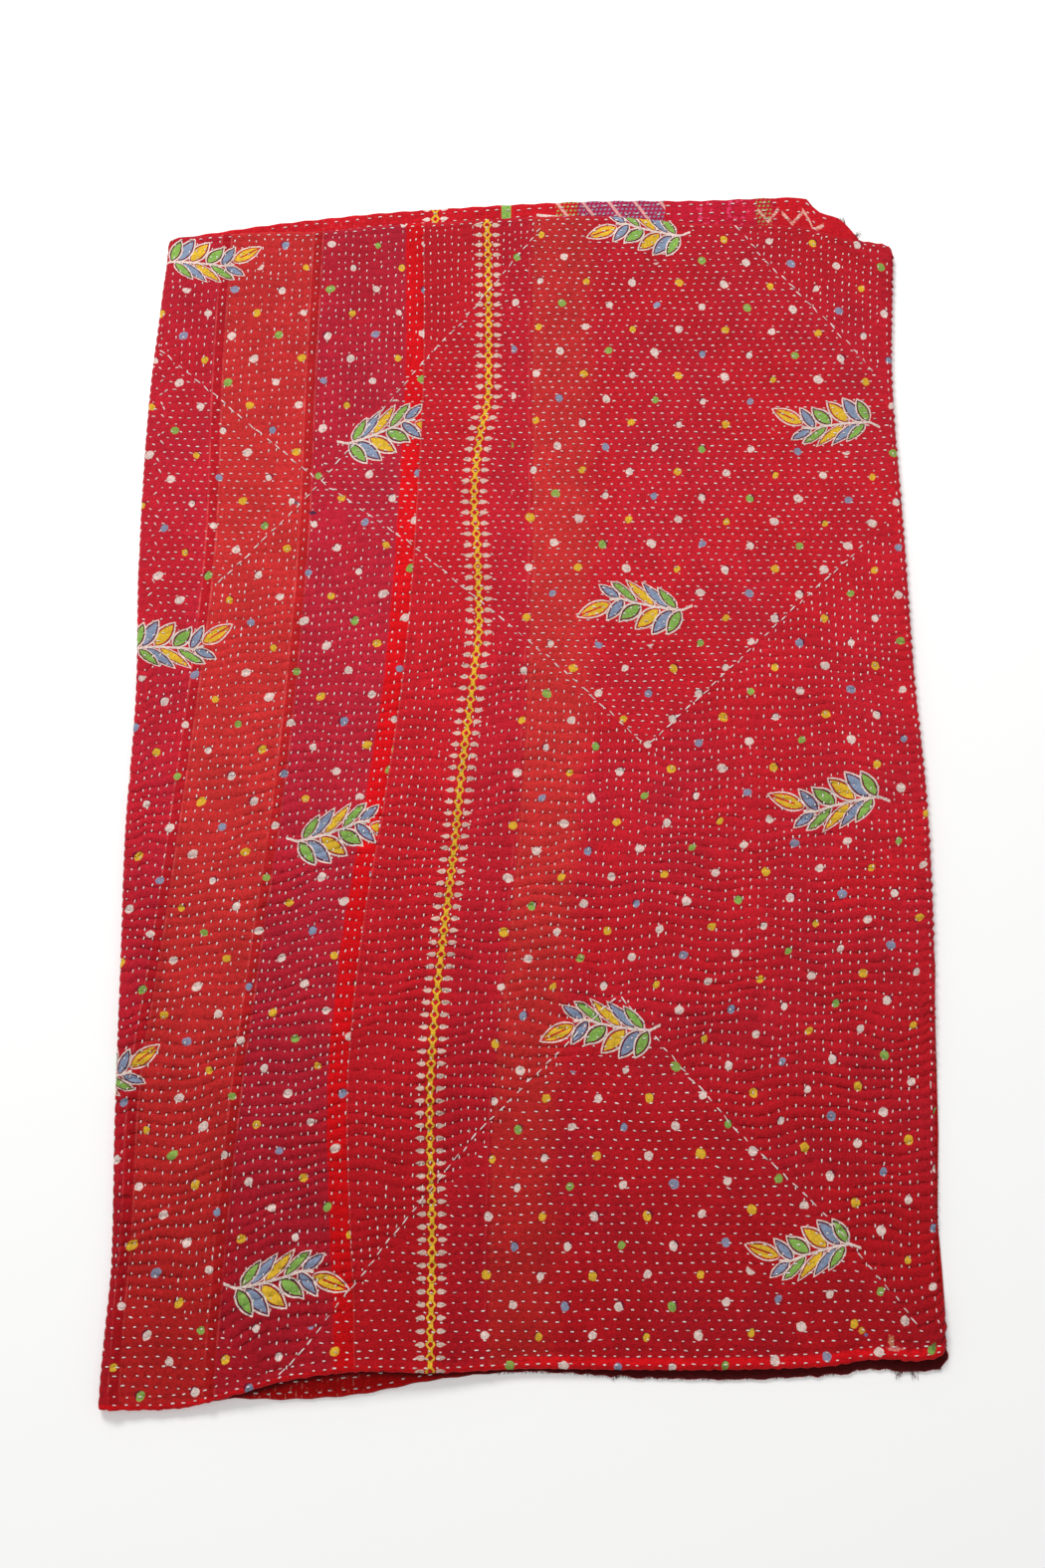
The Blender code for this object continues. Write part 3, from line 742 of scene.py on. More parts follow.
def quilt_skin(face):
    """The folded cloth: its fine upper face, the fold, the under half and the insides."""
    size, skin = face.size, Skin()
    rows, few = list(range(face.rows + 1)), sparse_rows(face.rows)
    outer_radius, inner_radius = size.thickness + size.fold_gap / 2, size.fold_gap / 2
    outer, inner, middle = [], {}, {}
    ripple = np.arange(face.rows + 1) / ROWS_PER_RIPPLE
    first_lane = face.lane[:, 0]

    def column(x, y, z, flat_x, lane, keep):
        """One column of points down the rows that it keeps."""
        points = np.stack([x, y, z], axis=-1)[keep]
        flat = np.stack([flat_x, y, lane, ripple], axis=-1)[keep]
        return dict(zip(keep, skin.add(points, flat)))

    for index in range(face.last, -1, -1):
        x, y, z, lane = face.x[:, index], face.y[:, index], face.z[:, index], face.lane[:, index]
        outer.append(column(x, y, z, x, lane, rows))
        if index in (0, face.last) or index % COLUMNS_PER_INNER == 0:
            inner[len(outer) - 1] = column(x, y, inner_height(size, x, y, face.shoulder), x, lane, few)
    shoulder_station = len(outer) - 1

    for turn in (step / FOLD_STEPS for step in range(1, FOLD_STEPS)):
        y = mix(face.y[:, 0], along_y(face.shoulder - outer_radius, face.share, 1.0), turn)
        round_x, round_z = math.sin(math.pi * turn), math.cos(math.pi * turn)
        pucker = FOLD_PUCKER * (np.abs(np.sin(np.pi * ripple)) - 0.5) * round_x
        made = []
        for radius, swell, kept in ((outer_radius, pucker, rows), (inner_radius, pucker * 0.0, few)):
            x = face.shoulder - (radius + swell) * round_x
            z = outer_radius + (radius + swell) * round_z
            reach = radius * math.pi * turn
            made.append(column(x, y, z, face.shoulder - reach, first_lane - reach / LANE_PITCH, kept))
        outer.append(made[0])
        inner[len(outer) - 1] = made[1]
    fold_station = len(outer) - 1

    under_hem = line_x("under_hem", face.station) + waves(ripple, UNDER_HEM_SWAY)
    for step in range(UNDER_STEPS + 1):
        x = mix(face.shoulder, under_hem, step / UNDER_STEPS)
        y = along_y(x, face.share, 1.0)
        jag = waves(x[0], UNDER_JAG)
        ragged = RAGGED * np.sin(x[0] * 331 + 2.0 * np.sin(x[0] * 90))
        y[0] += jag + ragged * smooth_step((x[0] - RAGGED_FROM) / RAGGED_EASE)
        y[-1] += jag
        reach = np.pi * outer_radius + x - face.shoulder
        lane = first_lane - reach / LANE_PITCH
        outer.append(column(x, y, np.zeros_like(x), face.shoulder - reach, lane, few))
        inner[len(outer) - 1] = column(x, y, np.full_like(x, size.thickness), x, lane, few)

    for here, after in zip(outer, outer[1:]):
        skin.bridge(here, after, Skin.FACE)
    stations = sorted(inner)
    for here, after in zip(stations, stations[1:]):
        skin.bridge(inner[here], inner[after], Skin.INSIDE)

    last_station = len(outer) - 1
    for station, kept in ((0, rows), (last_station, few)):
        edge = {}
        for row in kept:
            x, y, z = skin.points[outer[station][row]]
            end = {0: -size.edge_round, face.rows: size.edge_round}.get(row, 0.0)
            middle_z = z - size.thickness / 2 if station == 0 else size.thickness / 2
            point = (x + size.edge_round, y + end, middle_z)
            edge[row] = skin.add([point], [skin.flat[outer[station][row]]])[0]
        middle[station] = edge
        skin.bridge(outer[station], edge, Skin.FACE)
        skin.bridge(edge, inner[station], Skin.FACE)

    for row, way in ((0, -1.0), (face.rows, 1.0)):
        outer_end = {station: run[row] for station, run in enumerate(outer)}
        inner_end = {station: inner[station][row] for station in stations}
        edge = {station: run[row] for station, run in middle.items()}
        for station in range(1, last_station):
            x, y, z = skin.points[outer_end[station]]
            if station <= shoulder_station:
                z -= size.thickness / 2
            elif station <= fold_station:
                inside = skin.points[inner_end[station]]
                x, y, z = ((a + b) / 2 for a, b in zip((x, y, z), inside))
            else:
                z += size.thickness / 2
            point = (x, y + way * size.edge_round, z)
            edge[station] = skin.add([point], [skin.flat[outer_end[station]]])[0]
        skin.bridge(outer_end, edge, Skin.FACE)
        skin.bridge(edge, inner_end, Skin.FACE)
    return skin


def drift(table, across, x, y):
    """How far the print has drifted at points of the cloth, from a table for its panel."""
    across = np.array(across)
    columns = np.array([np.interp(y, DRIFT_Y, column) for column in zip(*table)])
    left = np.clip(np.searchsorted(across, x) - 1, 0, len(across) - 2)
    share = np.clip((x - across[left]) / (across[left + 1] - across[left]), -0.5, 1.3)
    each = np.arange(len(x))
    return mix(columns[left, each], columns[left + 1, each], share)


def print_places(x, y, right_panel):
    """Where points of the cloth lie on the square lattice of the print, in metres."""
    right_x = x - drift(RIGHT_DRIFT_X, RIGHT_DRIFT_AT, x, y)
    right_y = y - drift(RIGHT_DRIFT_Y, RIGHT_DRIFT_AT, x, y)
    left_x = PRINT_COLUMN - (x - drift(LEFT_DRIFT_X, LEFT_DRIFT_AT, x, y))
    left_y = PRINT_ROW + (y - drift(LEFT_DRIFT_Y, LEFT_DRIFT_AT, x, y))
    return np.where(right_panel, right_x, left_x), np.where(right_panel, right_y, left_y)


def sprig_places(x, y, right_panel, corner_of, sizes):
    """Where each face corner lies from the middle of its face's nearest sprig, in metres."""
    centre_x, centre_y = np.bincount(corner_of, x) / sizes, np.bincount(corner_of, y) / sizes
    face_right = right_panel[np.searchsorted(corner_of, np.arange(len(sizes)))]
    nearest = np.full(len(sizes), np.inf)
    along, over = np.full(x.shape, 1.0), np.full(x.shape, 1.0)
    for panel, sprigs in enumerate((LEFT_SPRIGS, RIGHT_SPRIGS)):
        for (tip_x, tip_y), (stalk_x, stalk_y), side in sprigs:
            middle_x, middle_y = (tip_x + stalk_x) / 2, (tip_y + stalk_y) / 2
            length = math.hypot(stalk_x - tip_x, stalk_y - tip_y)
            way_x, way_y = (stalk_x - tip_x) / length, (stalk_y - tip_y) / length
            away = np.hypot(centre_x - middle_x, centre_y - middle_y)
            closer = (away < nearest) & (face_right == panel)
            nearest = np.where(closer, away, nearest)
            chosen, grow = closer[corner_of], SPRIG_LENGTH / length
            from_x, from_y = x - middle_x, y - middle_y
            along = np.where(chosen, (from_x * way_x + from_y * way_y) * grow, along)
            over = np.where(chosen, (from_x * way_y - from_y * way_x) * grow * side, over)
    return along, over


def write_uv(mesh, name, u, v):
    """Give a mesh a UV map from the values at its face corners."""
    layer = mesh.uv_layers.new(name=name)
    layer.data.foreach_set("uv", np.stack([u, v], axis=-1).astype(np.float32).ravel())


def corner_points(mesh):
    """The number of the point at each face corner of a mesh."""
    corners = np.empty(len(mesh.loops), dtype=np.int32)
    mesh.loops.foreach_get("vertex_index", corners)
    return corners


def write_layers(mesh, flat):
    """Give the cloth its UV maps and the distances from its lines that its dyes follow."""
    x, y, lane, ripple = np.array(flat).T
    station = np.clip(y, NEAR_Y, FAR_Y)
    followed = ("tuck_1", "tuck_2", "strip_seam", "tuck_3")
    values = {"from_" + name: x - line_x(name, station) for name in followed}
    drifted = read_table(CHAIN_DRIFT, CHAIN_DRIFT_COLUMNS, "offset", station)
    values.update({
        "from_chain": x - line_x("chain", station) - drifted,
        "from_near_hem": y - hem("face_near", x),
        "from_far_hem": hem("under_far", x) - y,
        "in_diamond": diamond_share(x, y, 0.007),
        "pull": pull(x, y),
        "flat_x": x,
        "flat_y": y,
    })
    for name, value in values.items():
        layer = mesh.attributes.new(name, "FLOAT", "POINT")
        layer.data.foreach_set("value", value.astype(np.float32))

    corners = corner_points(mesh)
    sizes = np.empty(len(mesh.polygons), dtype=np.int32)
    mesh.polygons.foreach_get("loop_total", sizes)
    corner_of = np.repeat(np.arange(len(sizes)), sizes)
    from_seam = np.bincount(corner_of, values["from_strip_seam"][corners]) / sizes
    right_panel = (from_seam > 0)[corner_of]
    along, rows = across_phase(x, y)
    write_uv(mesh, "print", *print_places(x[corners], y[corners], right_panel))
    write_uv(mesh, "sprig", *sprig_places(x[corners], y[corners], right_panel, corner_of, sizes))
    write_uv(mesh, "upright", lane[corners], ripple[corners])
    write_uv(mesh, "across", along[corners], rows[corners])


def smooth_mesh(name, points, faces):
    """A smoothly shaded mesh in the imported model's frame."""
    mesh = bpy.data.meshes.new(name)
    mesh.from_pydata(in_frame(points).tolist(), [], faces)
    mesh.polygons.foreach_set("use_smooth", [True] * len(faces))
    return mesh


def cloth_mesh(face):
    """The closed sheet of cloth with its layers."""
    skin = quilt_skin(face)
    mesh = smooth_mesh("quilt_cloth", skin.points, skin.faces)
    mesh.polygons.foreach_set("material_index", skin.finish)
    bm = bmesh.new()
    bm.from_mesh(mesh)
    bmesh.ops.recalc_face_normals(bm, faces=bm.faces)
    bmesh.ops.triangulate(bm, faces=[f for f in bm.faces if len(f.verts) > 4])
    bm.to_mesh(mesh)
    bm.free()
    write_layers(mesh, skin.flat)
    return mesh


# Node trees


class Value:
    """An output of a node, which can be reckoned with in its tree."""

    def __init__(self, nodes, socket):
        self.nodes, self.socket = nodes, socket

    def __add__(self, other):
        return self.nodes.math("ADD", self, other)

    def __radd__(self, other):
        return self.nodes.math("ADD", other, self)

    def __sub__(self, other):
        return self.nodes.math("SUBTRACT", self, other)

    def __rsub__(self, other):
        return self.nodes.math("SUBTRACT", other, self)

    def __mul__(self, other):
        return self.nodes.math("MULTIPLY", self, other)

    def __truediv__(self, other):
        return self.nodes.math("DIVIDE", self, other)

    def __mod__(self, other):
        return self.nodes.math("FLOORED_MODULO", self, other)

    def __pow__(self, other):
        return self.nodes.math("POWER", self, other)

    def __abs__(self):
        return self.nodes.math("ABSOLUTE", self)

    def __round__(self):
        return self.nodes.math("ROUND", self)


class Nodes:
    """Adds and joins the nodes of one tree."""

    PER_COLUMN, STEP_X, STEP_Y = 6, 190.0, -170.0
    RANGE = ("Value", "From Min", "From Max", "To Min", "To Max")

    def __init__(self, tree):
        self.tree, self.count = tree, 0

    def add(self, kind, inputs, **settings):
        """A new node with its settings, and its inputs by their names or numbers."""
        node = self.tree.nodes.new(kind)
        column, row = divmod(self.count, self.PER_COLUMN)
        node.location = (column * self.STEP_X, row * self.STEP_Y)
        self.count += 1
        for name, value in settings.items():
            setattr(node, name, value)
        for name, value in inputs.items():
            self.put(value, node.inputs[name])
        return node

    def put(self, value, socket):
        if isinstance(value, Value):
            self.tree.links.new(value.socket, socket)
        else:
            socket.default_value = value

    def result(self, kind, output, inputs, **settings):
        return Value(self, self.add("ShaderNode" + kind, inputs, **settings).outputs[output])

    def math(self, operation, *values):
        return self.result("Math", 0, dict(enumerate(values)), operation=operation)

    def vector(self, operation, *values):
        output = "Value" if operation in ("DOT_PRODUCT", "LENGTH") else "Vector"
        return self.result("VectorMath", output, dict(enumerate(values)), operation=operation)

    def split(self, vector):
        node = self.add("ShaderNodeSeparateXYZ", {0: vector})
        return Value(self, node.outputs["X"]), Value(self, node.outputs["Y"])

    def join(self, *values):
        return self.result("CombineXYZ", 0, dict(enumerate(values)))

    def length(self, x, y):
        return self.vector("LENGTH", self.join(x, y))

    def lowest(self, *values):
        return self.math("MINIMUM", *values)

    def highest(self, *values):
        return self.math("MAXIMUM", *values)

    def step(self, value, start, end, low=0.0, high=1.0):
        """Ease from low to high as the value goes from start to end."""
        inputs = dict(zip(self.RANGE, (value, start, end, low, high)))
        return self.result("MapRange", "Result", inputs, interpolation_type="SMOOTHSTEP")

    def between(self, value, start, end, soft=0.0006):
        """1 where the value lies between start and end."""
        return self.step(value, start - soft, start + soft) * self.step(value, end + soft, end - soft)

    def blend(self, share, first, second, mode="MIX"):
        """Colour a share of the way from the first to the second."""
        return self.result("Mix", 2, {0: share, 6: first, 7: second}, data_type="RGBA", blend_type=mode)

    def coats(self, colour, *coats):
        """A colour under coats, each a share and a colour, laid one over the other."""
        for share, coat in coats:
            colour = self.blend(share, colour, coat)
        return colour

    def noise(self, vector, scale, detail=2.0, rough=0.5):
        inputs = {"Vector": vector, "Scale": scale, "Detail": detail, "Roughness": rough}
        return self.result("TexNoise", "Fac", inputs)

    def bump(self, height):
        return self.result("Bump", "Normal", {"Height": height, "Distance": 1.0, "Strength": 1.0})

    def attribute(self, name):
        return self.result("Attribute", "Fac", {}, attribute_name=name)

    def uv(self, name):
        return self.result("UVMap", 0, {}, uv_map=name)

    def object_place(self):
        return self.result("TexCoord", "Object", {})

    def group(self, tree, **values):
        """The outputs of a group by name."""
        node = self.add("ShaderNodeGroup", values, node_tree=tree)
        return {socket.name: Value(self, socket) for socket in node.outputs}

    def give(self, **values):
        """Put values out of this group, and return its tree."""
        for name in values:
            kind = "NodeSocketColor" if name == "Colour" else "NodeSocketFloat"
            self.tree.interface.new_socket(name=name, in_out="OUTPUT", socket_type=kind)
        self.add("NodeGroupOutput", values)
        return self.tree


def new_group(name, **defaults):
    """An empty shader node group with its inputs; returns its nodes and the inputs by name."""
    tree = bpy.data.node_groups.new(name, "ShaderNodeTree")
    kinds = {1: "NodeSocketFloat", 3: "NodeSocketVector", 4: "NodeSocketColor"}
    for socket, default in defaults.items():
        made = tree.interface.new_socket(name=socket, in_out="INPUT", socket_type=kinds[np.size(default)])
        made.default_value = default
    nodes = Nodes(tree)
    return nodes, {socket.name: Value(nodes, socket) for socket in nodes.add("NodeGroupInput", {}).outputs}


def dots_group():
    """Rows of printed dots in four inks on a staggered lattice, each a little off its place."""
    n, given = new_group("printed_dots", Place=ORIGIN, Radius=DOT_RADIUS, **dict.fromkeys(INKS, WHITE))
    x, y = n.split(given["Place"])
    u, v = x / PRINT_COLUMN, y / PRINT_ROW
    rising, falling = round((u + v) * 0.5), round((u - v) * 0.5)
    column, row = rising + falling, rising - falling
    chance = n.add("ShaderNodeTexWhiteNoise", {"Vector": n.join(rising, falling)}, noise_dimensions="2D")
    chance_x, chance_y = n.split(Value(n, chance.outputs["Color"]))
    off_x = (u - column) * PRINT_COLUMN + n.step(chance_x, 0, 1, -DOT_STRAY, DOT_STRAY)
    off_y = (v - row) * PRINT_ROW + n.step(chance_y, 0, 1, -DOT_STRAY, DOT_STRAY)
    leaned = off_y + off_x * (chance_x - 0.5) * 0.4
    away = n.length(off_x * n.step(chance_y, 0.1, 0.9, 0.92, 1.16), leaned)
    away = away + (n.noise(given["Place"], 260.0, 1.0) - 0.5) * 0.0026
    radius = given["Radius"] * n.step(Value(n, chance.outputs["Value"]), 0.0, 1.0, 0.86, 1.1)
    shifted = n.length(off_x - n.step(chance_x, 0, 1, -0.001, 0.0015), off_y - 0.0013)
    shade = n.step(shifted - radius, 0.0003, -0.0006) * n.step(chance_y, 0.45, 0.8, 0.0, 0.7)
    odd_row, in_four = row % 2.0, rising % 4.0
    colour = n.coats(
        n.blend((1.0 - odd_row) * (rising % 2.0), given["White"], given["Yellow"]),
        (odd_row * n.math("COMPARE", in_four, 2.0, 0.3), given["Green"]),
        (odd_row * n.math("COMPARE", in_four, 0.0, 0.3), given["Blue"]))
    return n.give(Mask=n.step(away - radius, 0.0004, -0.0004), Shade=shade, Colour=colour)


def leaf_group():
    """One pointed leaf from its base: the whole of it, what its outline leaves, and its filling."""
    n, given = new_group("printed_leaf", Place=ORIGIN, Base=ORIGIN, Way=(1.0, 0.0, 0.0), Length=0.034,
                         Breadth=0.008, Outline=OUTLINE)
    from_base = n.vector("SUBTRACT", given["Place"], given["Base"])
    sideways = n.vector("LENGTH", n.vector("CROSS_PRODUCT", given["Way"], from_base))
    share = n.vector("DOT_PRODUCT", from_base, given["Way"]) / given["Length"]
    share = n.lowest(n.highest(share, 0.0), 1.0)
    depth = share ** 0.70 * (1.0 - share) ** 0.95 * 3.05 * given["Breadth"] - sideways
    inked = depth - given["Outline"]
    middle = n.step(sideways, 0.0013, 0.0006) * n.step(share, 0.2, 0.3)
    return n.give(Whole=n.step(depth, 0.0, 0.0005), Gap=n.step(inked, 0.0, 0.0005),
                  Filling=n.step(inked, 0.0016, 0.0021), Middle=middle)


def sprig_group(leaf):
    """A sprig of paired leaves on a bowed stalk, with a flame-shaped leaf at its tip."""
    n, given = new_group("printed_sprig", Place=ORIGIN, Outline=OUTLINE,
                         **dict.fromkeys(INKS + ("Cloth", "Shade"), WHITE))
    cloth, white = given["Cloth"], given["White"]
    along, over = n.split(given["Place"])
    wobble = (n.noise(given["Place"], 330.0, 1.0) - 0.5) * 0.0014
    bow = n.lowest(along * -0.36 + 0.0095 + along * along * 1.9, 0.0150)
    bow = bow + n.highest(along - 0.052, 0.0) * 0.5
    raised = over - bow + wobble
    far_side = n.step(raised, -0.0001, 0.0001)
    swept = along - far_side * FAR_SWEEP + wobble
    spread = abs(raised) * n.step(far_side, 0.0, 1.0, 1.0, FAR_SPREAD)

    def leaf_at(place, base, reach, spread, breadth):
        length = math.hypot(reach, spread)
        return n.group(leaf, Place=place, Base=(*base, 0.0), Way=(reach / length, spread / length, 0.0),
                       Length=length, Breadth=breadth, Outline=given["Outline"])

    def printed(colour, part, ink, shade):
        gap = n.blend(shade, cloth, given["Shade"])
        return n.coats(colour, (part["Whole"], white), (part["Gap"], gap), (part["Filling"], ink))

    part = leaf_at(n.join(along + wobble, over + wobble), TIP_BASE,
                   TIP_END[0] - TIP_BASE[0], TIP_END[1] - TIP_BASE[1], TIP_BREADTH)
    colour = printed(cloth, part, n.blend(part["Middle"], given["Yellow"], cloth), 0.0)
    folded = n.join(swept, spread)
    for pair in reversed(LEAF_PAIRS):
        part = leaf_at(folded, (pair.base, STALK_SIDE), pair.reach, pair.spread, pair.breadth)
        colour = printed(colour, part, given[pair.ink], 0.35 if pair.ink == "Yellow" else 0.9)
    stalk = n.step(abs(raised), 0.0017, 0.0010) * n.step(along, -0.028, -0.026) * n.step(along, 0.0645, 0.063)
    near = n.step(n.length(along * 0.56, over), 0.042, 0.040)
    return n.give(Colour=n.blend(stalk, colour, white), Near=near)


def chain_group():
    """The printed chain of eyelets, with a pair of drops beside each."""
    n, given = new_group("printed_chain", Over=0.0, Along=0.0, Pitch=CHAIN_PITCH)
    wobble = (n.noise(n.join(given["Over"], given["Along"]), 240.0, 1.0) - 0.5) * 0.0016
    over = abs(given["Over"] + wobble)
    turns = given["Along"] / given["Pitch"]
    along = (turns - round(turns)) * given["Pitch"]
    tall = abs(along) * 0.95
    ring = n.length(over, tall) * 0.45 + (over + tall) * 0.5
    links = n.highest(n.step(ring, 0.0051, 0.0046), n.step(over, 0.0025, 0.0020))
    share = n.lowest(n.highest((over - DROP_FROM) / DROP_LENGTH, 0.0), 1.0)
    half = n.math("SQRT", share) * (1.0 - share) * DROP_BREADTH
    return n.give(Links=links * (1.0 - n.step(ring, 0.0029, 0.0023)),
                  Drops=n.step(half - abs(along + wobble), 0.0, 0.0006))


def weave_group():
    """Plain weave of fine cotton: a height, and a speckle of lighter and darker threads."""
    n, given = new_group("cotton_weave", Place=ORIGIN)
    x, y = n.split(given["Place"])
    warp, weft = (n.math("SINE", way * (2 * math.pi / WEAVE_PITCH)) for way in (x, y))
    slubs = n.noise(n.join(x * 900.0, y * 60.0), 1.0, 1.0) + n.noise(n.join(x * 60.0, y * 900.0), 1.0, 1.0)
    return n.give(Height=warp * weft + slubs, Speckle=slubs * 0.5)


def quilting_group():
    """The relief that running stitch draws into cloth, creases along rows and dimples at stitches, and the
    painted shade that darkens them.
    """
    n, given = new_group("quilting_relief", Upright=ORIGIN, Across=ORIGIN, Place=ORIGIN,
                         Diamond=0.0, Pull=1.0)

    def relief(phase, closeness):
        """The crease and dimple at a count of lanes and of rows."""
        lane, row = n.split(phase)
        row_off = abs(row - round(row) + (n.noise(phase, 1.3, 2.0) - 0.5) * 0.30)
        patches = n.noise(n.vector("MULTIPLY", phase, (0.5, 1.0, 1.0)), 0.9, 2.0)
        breaks = n.noise(n.vector("MULTIPLY", phase, (1.0, 0.6, 1.0)), 3.1, 1.0)
        kept = n.step(patches, 0.36, 0.60) * n.step(breaks, 0.38, 0.56, 0.35, 1.0)
        crease = n.step(row_off, 0.0, 0.15, 1.0, 0.0) * kept
        return crease, n.step(n.length(lane - round(lane), row_off * closeness), 0.05, 0.40, 1.0, 0.0)

    upright_crease, upright_dimple = relief(given["Upright"], 0.9)
    across_crease, across_dimple = relief(given["Across"], 0.7)
    inside, pulled = given["Diamond"], given["Pull"]
    crease = upright_crease * (1.0 - inside) + across_crease * 0.35 * inside
    dimple = upright_dimple * (1.0 - inside) + across_dimple * inside
    x, y = n.split(given["Place"])
    drawn = n.noise(n.join(x * 330.0, y * 85.0), 1.0, 2.0)
    # Besides the bump's height, how much painted shade darkens the creases and dimples.
    return n.give(Height=drawn * 0.55 - (crease * 0.9 + dimple * 0.45) * pulled,
                  Crease=n.lowest(crease + dimple * 0.25, 1.0) * pulled)


# Materials


def new_material(name):
    """A material with a principled shader; returns it, its nodes and the shader's sockets."""
    material = bpy.data.materials.new(name)
    material.use_nodes = True
    material.node_tree.nodes.clear()
    nodes = Nodes(material.node_tree)
    shader = nodes.add("ShaderNodeBsdfPrincipled", {})
    nodes.add("ShaderNodeOutputMaterial", {"Surface": Value(nodes, shader.outputs[0])})
    return material, nodes, shader.inputs


def soaked(n, colour, y):
    """Deepen a dye towards the near end, where the cloth has faded less, and at the far end."""
    for start, end, deeper in SOAKED:
        colour = n.blend(n.step(y, start, end), colour, n.blend(1.0, colour, deeper, "MULTIPLY"))
    return colour


def dyed_cloth(n, size, place):
    """The dyes of the patched layers from the fold to the free hem, mottled and worn, with painted highlights
    along the tucks.
    """
    lines = ("tuck_1", "tuck_2", "strip_seam", "chain", "tuck_3")
    tuck_1, tuck_2, seam, chain, tuck_3 = (n.attribute("from_" + line) for line in lines)
    bleed = (n.noise(place, 38.0, 2.0) - 0.5) * 0.030
    patch = n.noise(place, 9.0, 3.0, 0.6)

    def patchwork(start, end, low, high):
        return n.blend(n.step(patch, start, end, low, high), size.crimson, size.purple)

    colour = n.coats(
        patchwork(0.3, 0.7, 0.3, 0.8),
        (n.step(tuck_1, 0.003, 0.006), size.orange),
        (n.step(tuck_2, 0.003, 0.006), patchwork(0.25, 0.6, 0.55, 1.0)),
        (n.step(seam + bleed * 0.12, -0.0215, -0.0195), size.bright),
        (n.step(seam, -0.0006, 0.0004), size.crimson),
        (n.step(chain + bleed, 0.006, 0.022, 0.0, 0.35), size.purple),
        (n.step(tuck_3, -0.001, 0.001), size.orange),
        (n.step(tuck_3 + bleed * 1.5, 0.050, 0.082), patchwork(0.35, 0.7, 0.0, 0.45)))
    # Along each tuck a band of its dye and, in patches, a painted highlight along the band's edges; the third
    # tuck's faint band is painted shade of its ridge.
    for name, half, share, pale in TUCK_BANDS_AND_HIGHLIGHTS:
        from_tuck = n.attribute("from_" + name)
        wear_and_highlight_patches = n.step(n.noise(place, 55.0, 3.0), 0.42, 0.60, 0.2 * pale, pale)
        from_edge = abs(abs(from_tuck) - (half + 0.0012))
        colour = n.coats(
            colour,
            (n.step(abs(from_tuck), half + 0.0014, half - 0.0010, 0.0, share), size.tuck),
            (n.step(from_edge, 0.0013, 0.0004) * wear_and_highlight_patches, TUCK_EDGE_HIGHLIGHT))
    colour = n.blend(n.step(abs(seam), 0.0012, 0.0004, 0.0, 0.35), colour, PALE_SEAM)
    return soaked(n, colour, n.split(place)[1])


def printed_face(n, place, size, ink, groups):
    """The outside: the dyed layers with their print, the bright turned hem and the smudges."""
    near_hem, flat_x = n.attribute("from_near_hem"), n.attribute("flat_x")
    turned = (n.step(near_hem, 0.012, 0.010) * n.step(flat_x, -0.02, 0.0, 0.0, 0.7)
              + n.step(near_hem, 0.005, 0.004) * n.step(flat_x, 0.0, -0.02, 0.0, 0.7))
    cloth = n.blend(turned, dyed_cloth(n, size, place), size.bright)
    inks = {name: getattr(ink, name.lower()) for name in INKS}
    sprig = n.group(groups["sprig"], Place=n.uv("sprig"), Outline=ink.outline, Cloth=cloth,
                    Shade=ink.shade, **inks)
    dots = n.group(groups["dots"], Place=n.uv("print"), Radius=ink.dot_radius, **inks)
    chain = n.group(groups["chain"], Over=n.attribute("from_chain"), Along=n.attribute("flat_y"),
                    Pitch=ink.chain_pitch)
    plain_panel = (n.step(n.attribute("from_strip_seam"), 0.0, 0.0006)
                   * n.step(n.attribute("from_tuck_3"), -0.022, -0.024))
    show = 1.0 - n.highest(plain_panel, sprig["Near"])
    faded = n.step(n.noise(place, 700.0, 2.0), 0.3, 0.62, 0.72, 1.0)
    colour = n.coats(
        sprig["Colour"],
        (dots["Shade"] * show, ink.shade),
        (dots["Mask"] * show * faded, dots["Colour"]),
        (chain["Drops"] * faded * 0.9, DROP_PALE),
        (chain["Links"], ink.yellow))
    x, y = n.split(place)
    uneven = (n.noise(place, 380.0, 2.0) - 0.5) * 1.6
    for smudge in SMUDGES:
        away = n.length((x - smudge.x) / smudge.reach_x, (y - smudge.y) / smudge.reach_y) + uneven
        colour = n.blend(n.step(away, 1.0, 0.6, 0.0, smudge.share), colour, tint(*smudge.colour))
    return colour


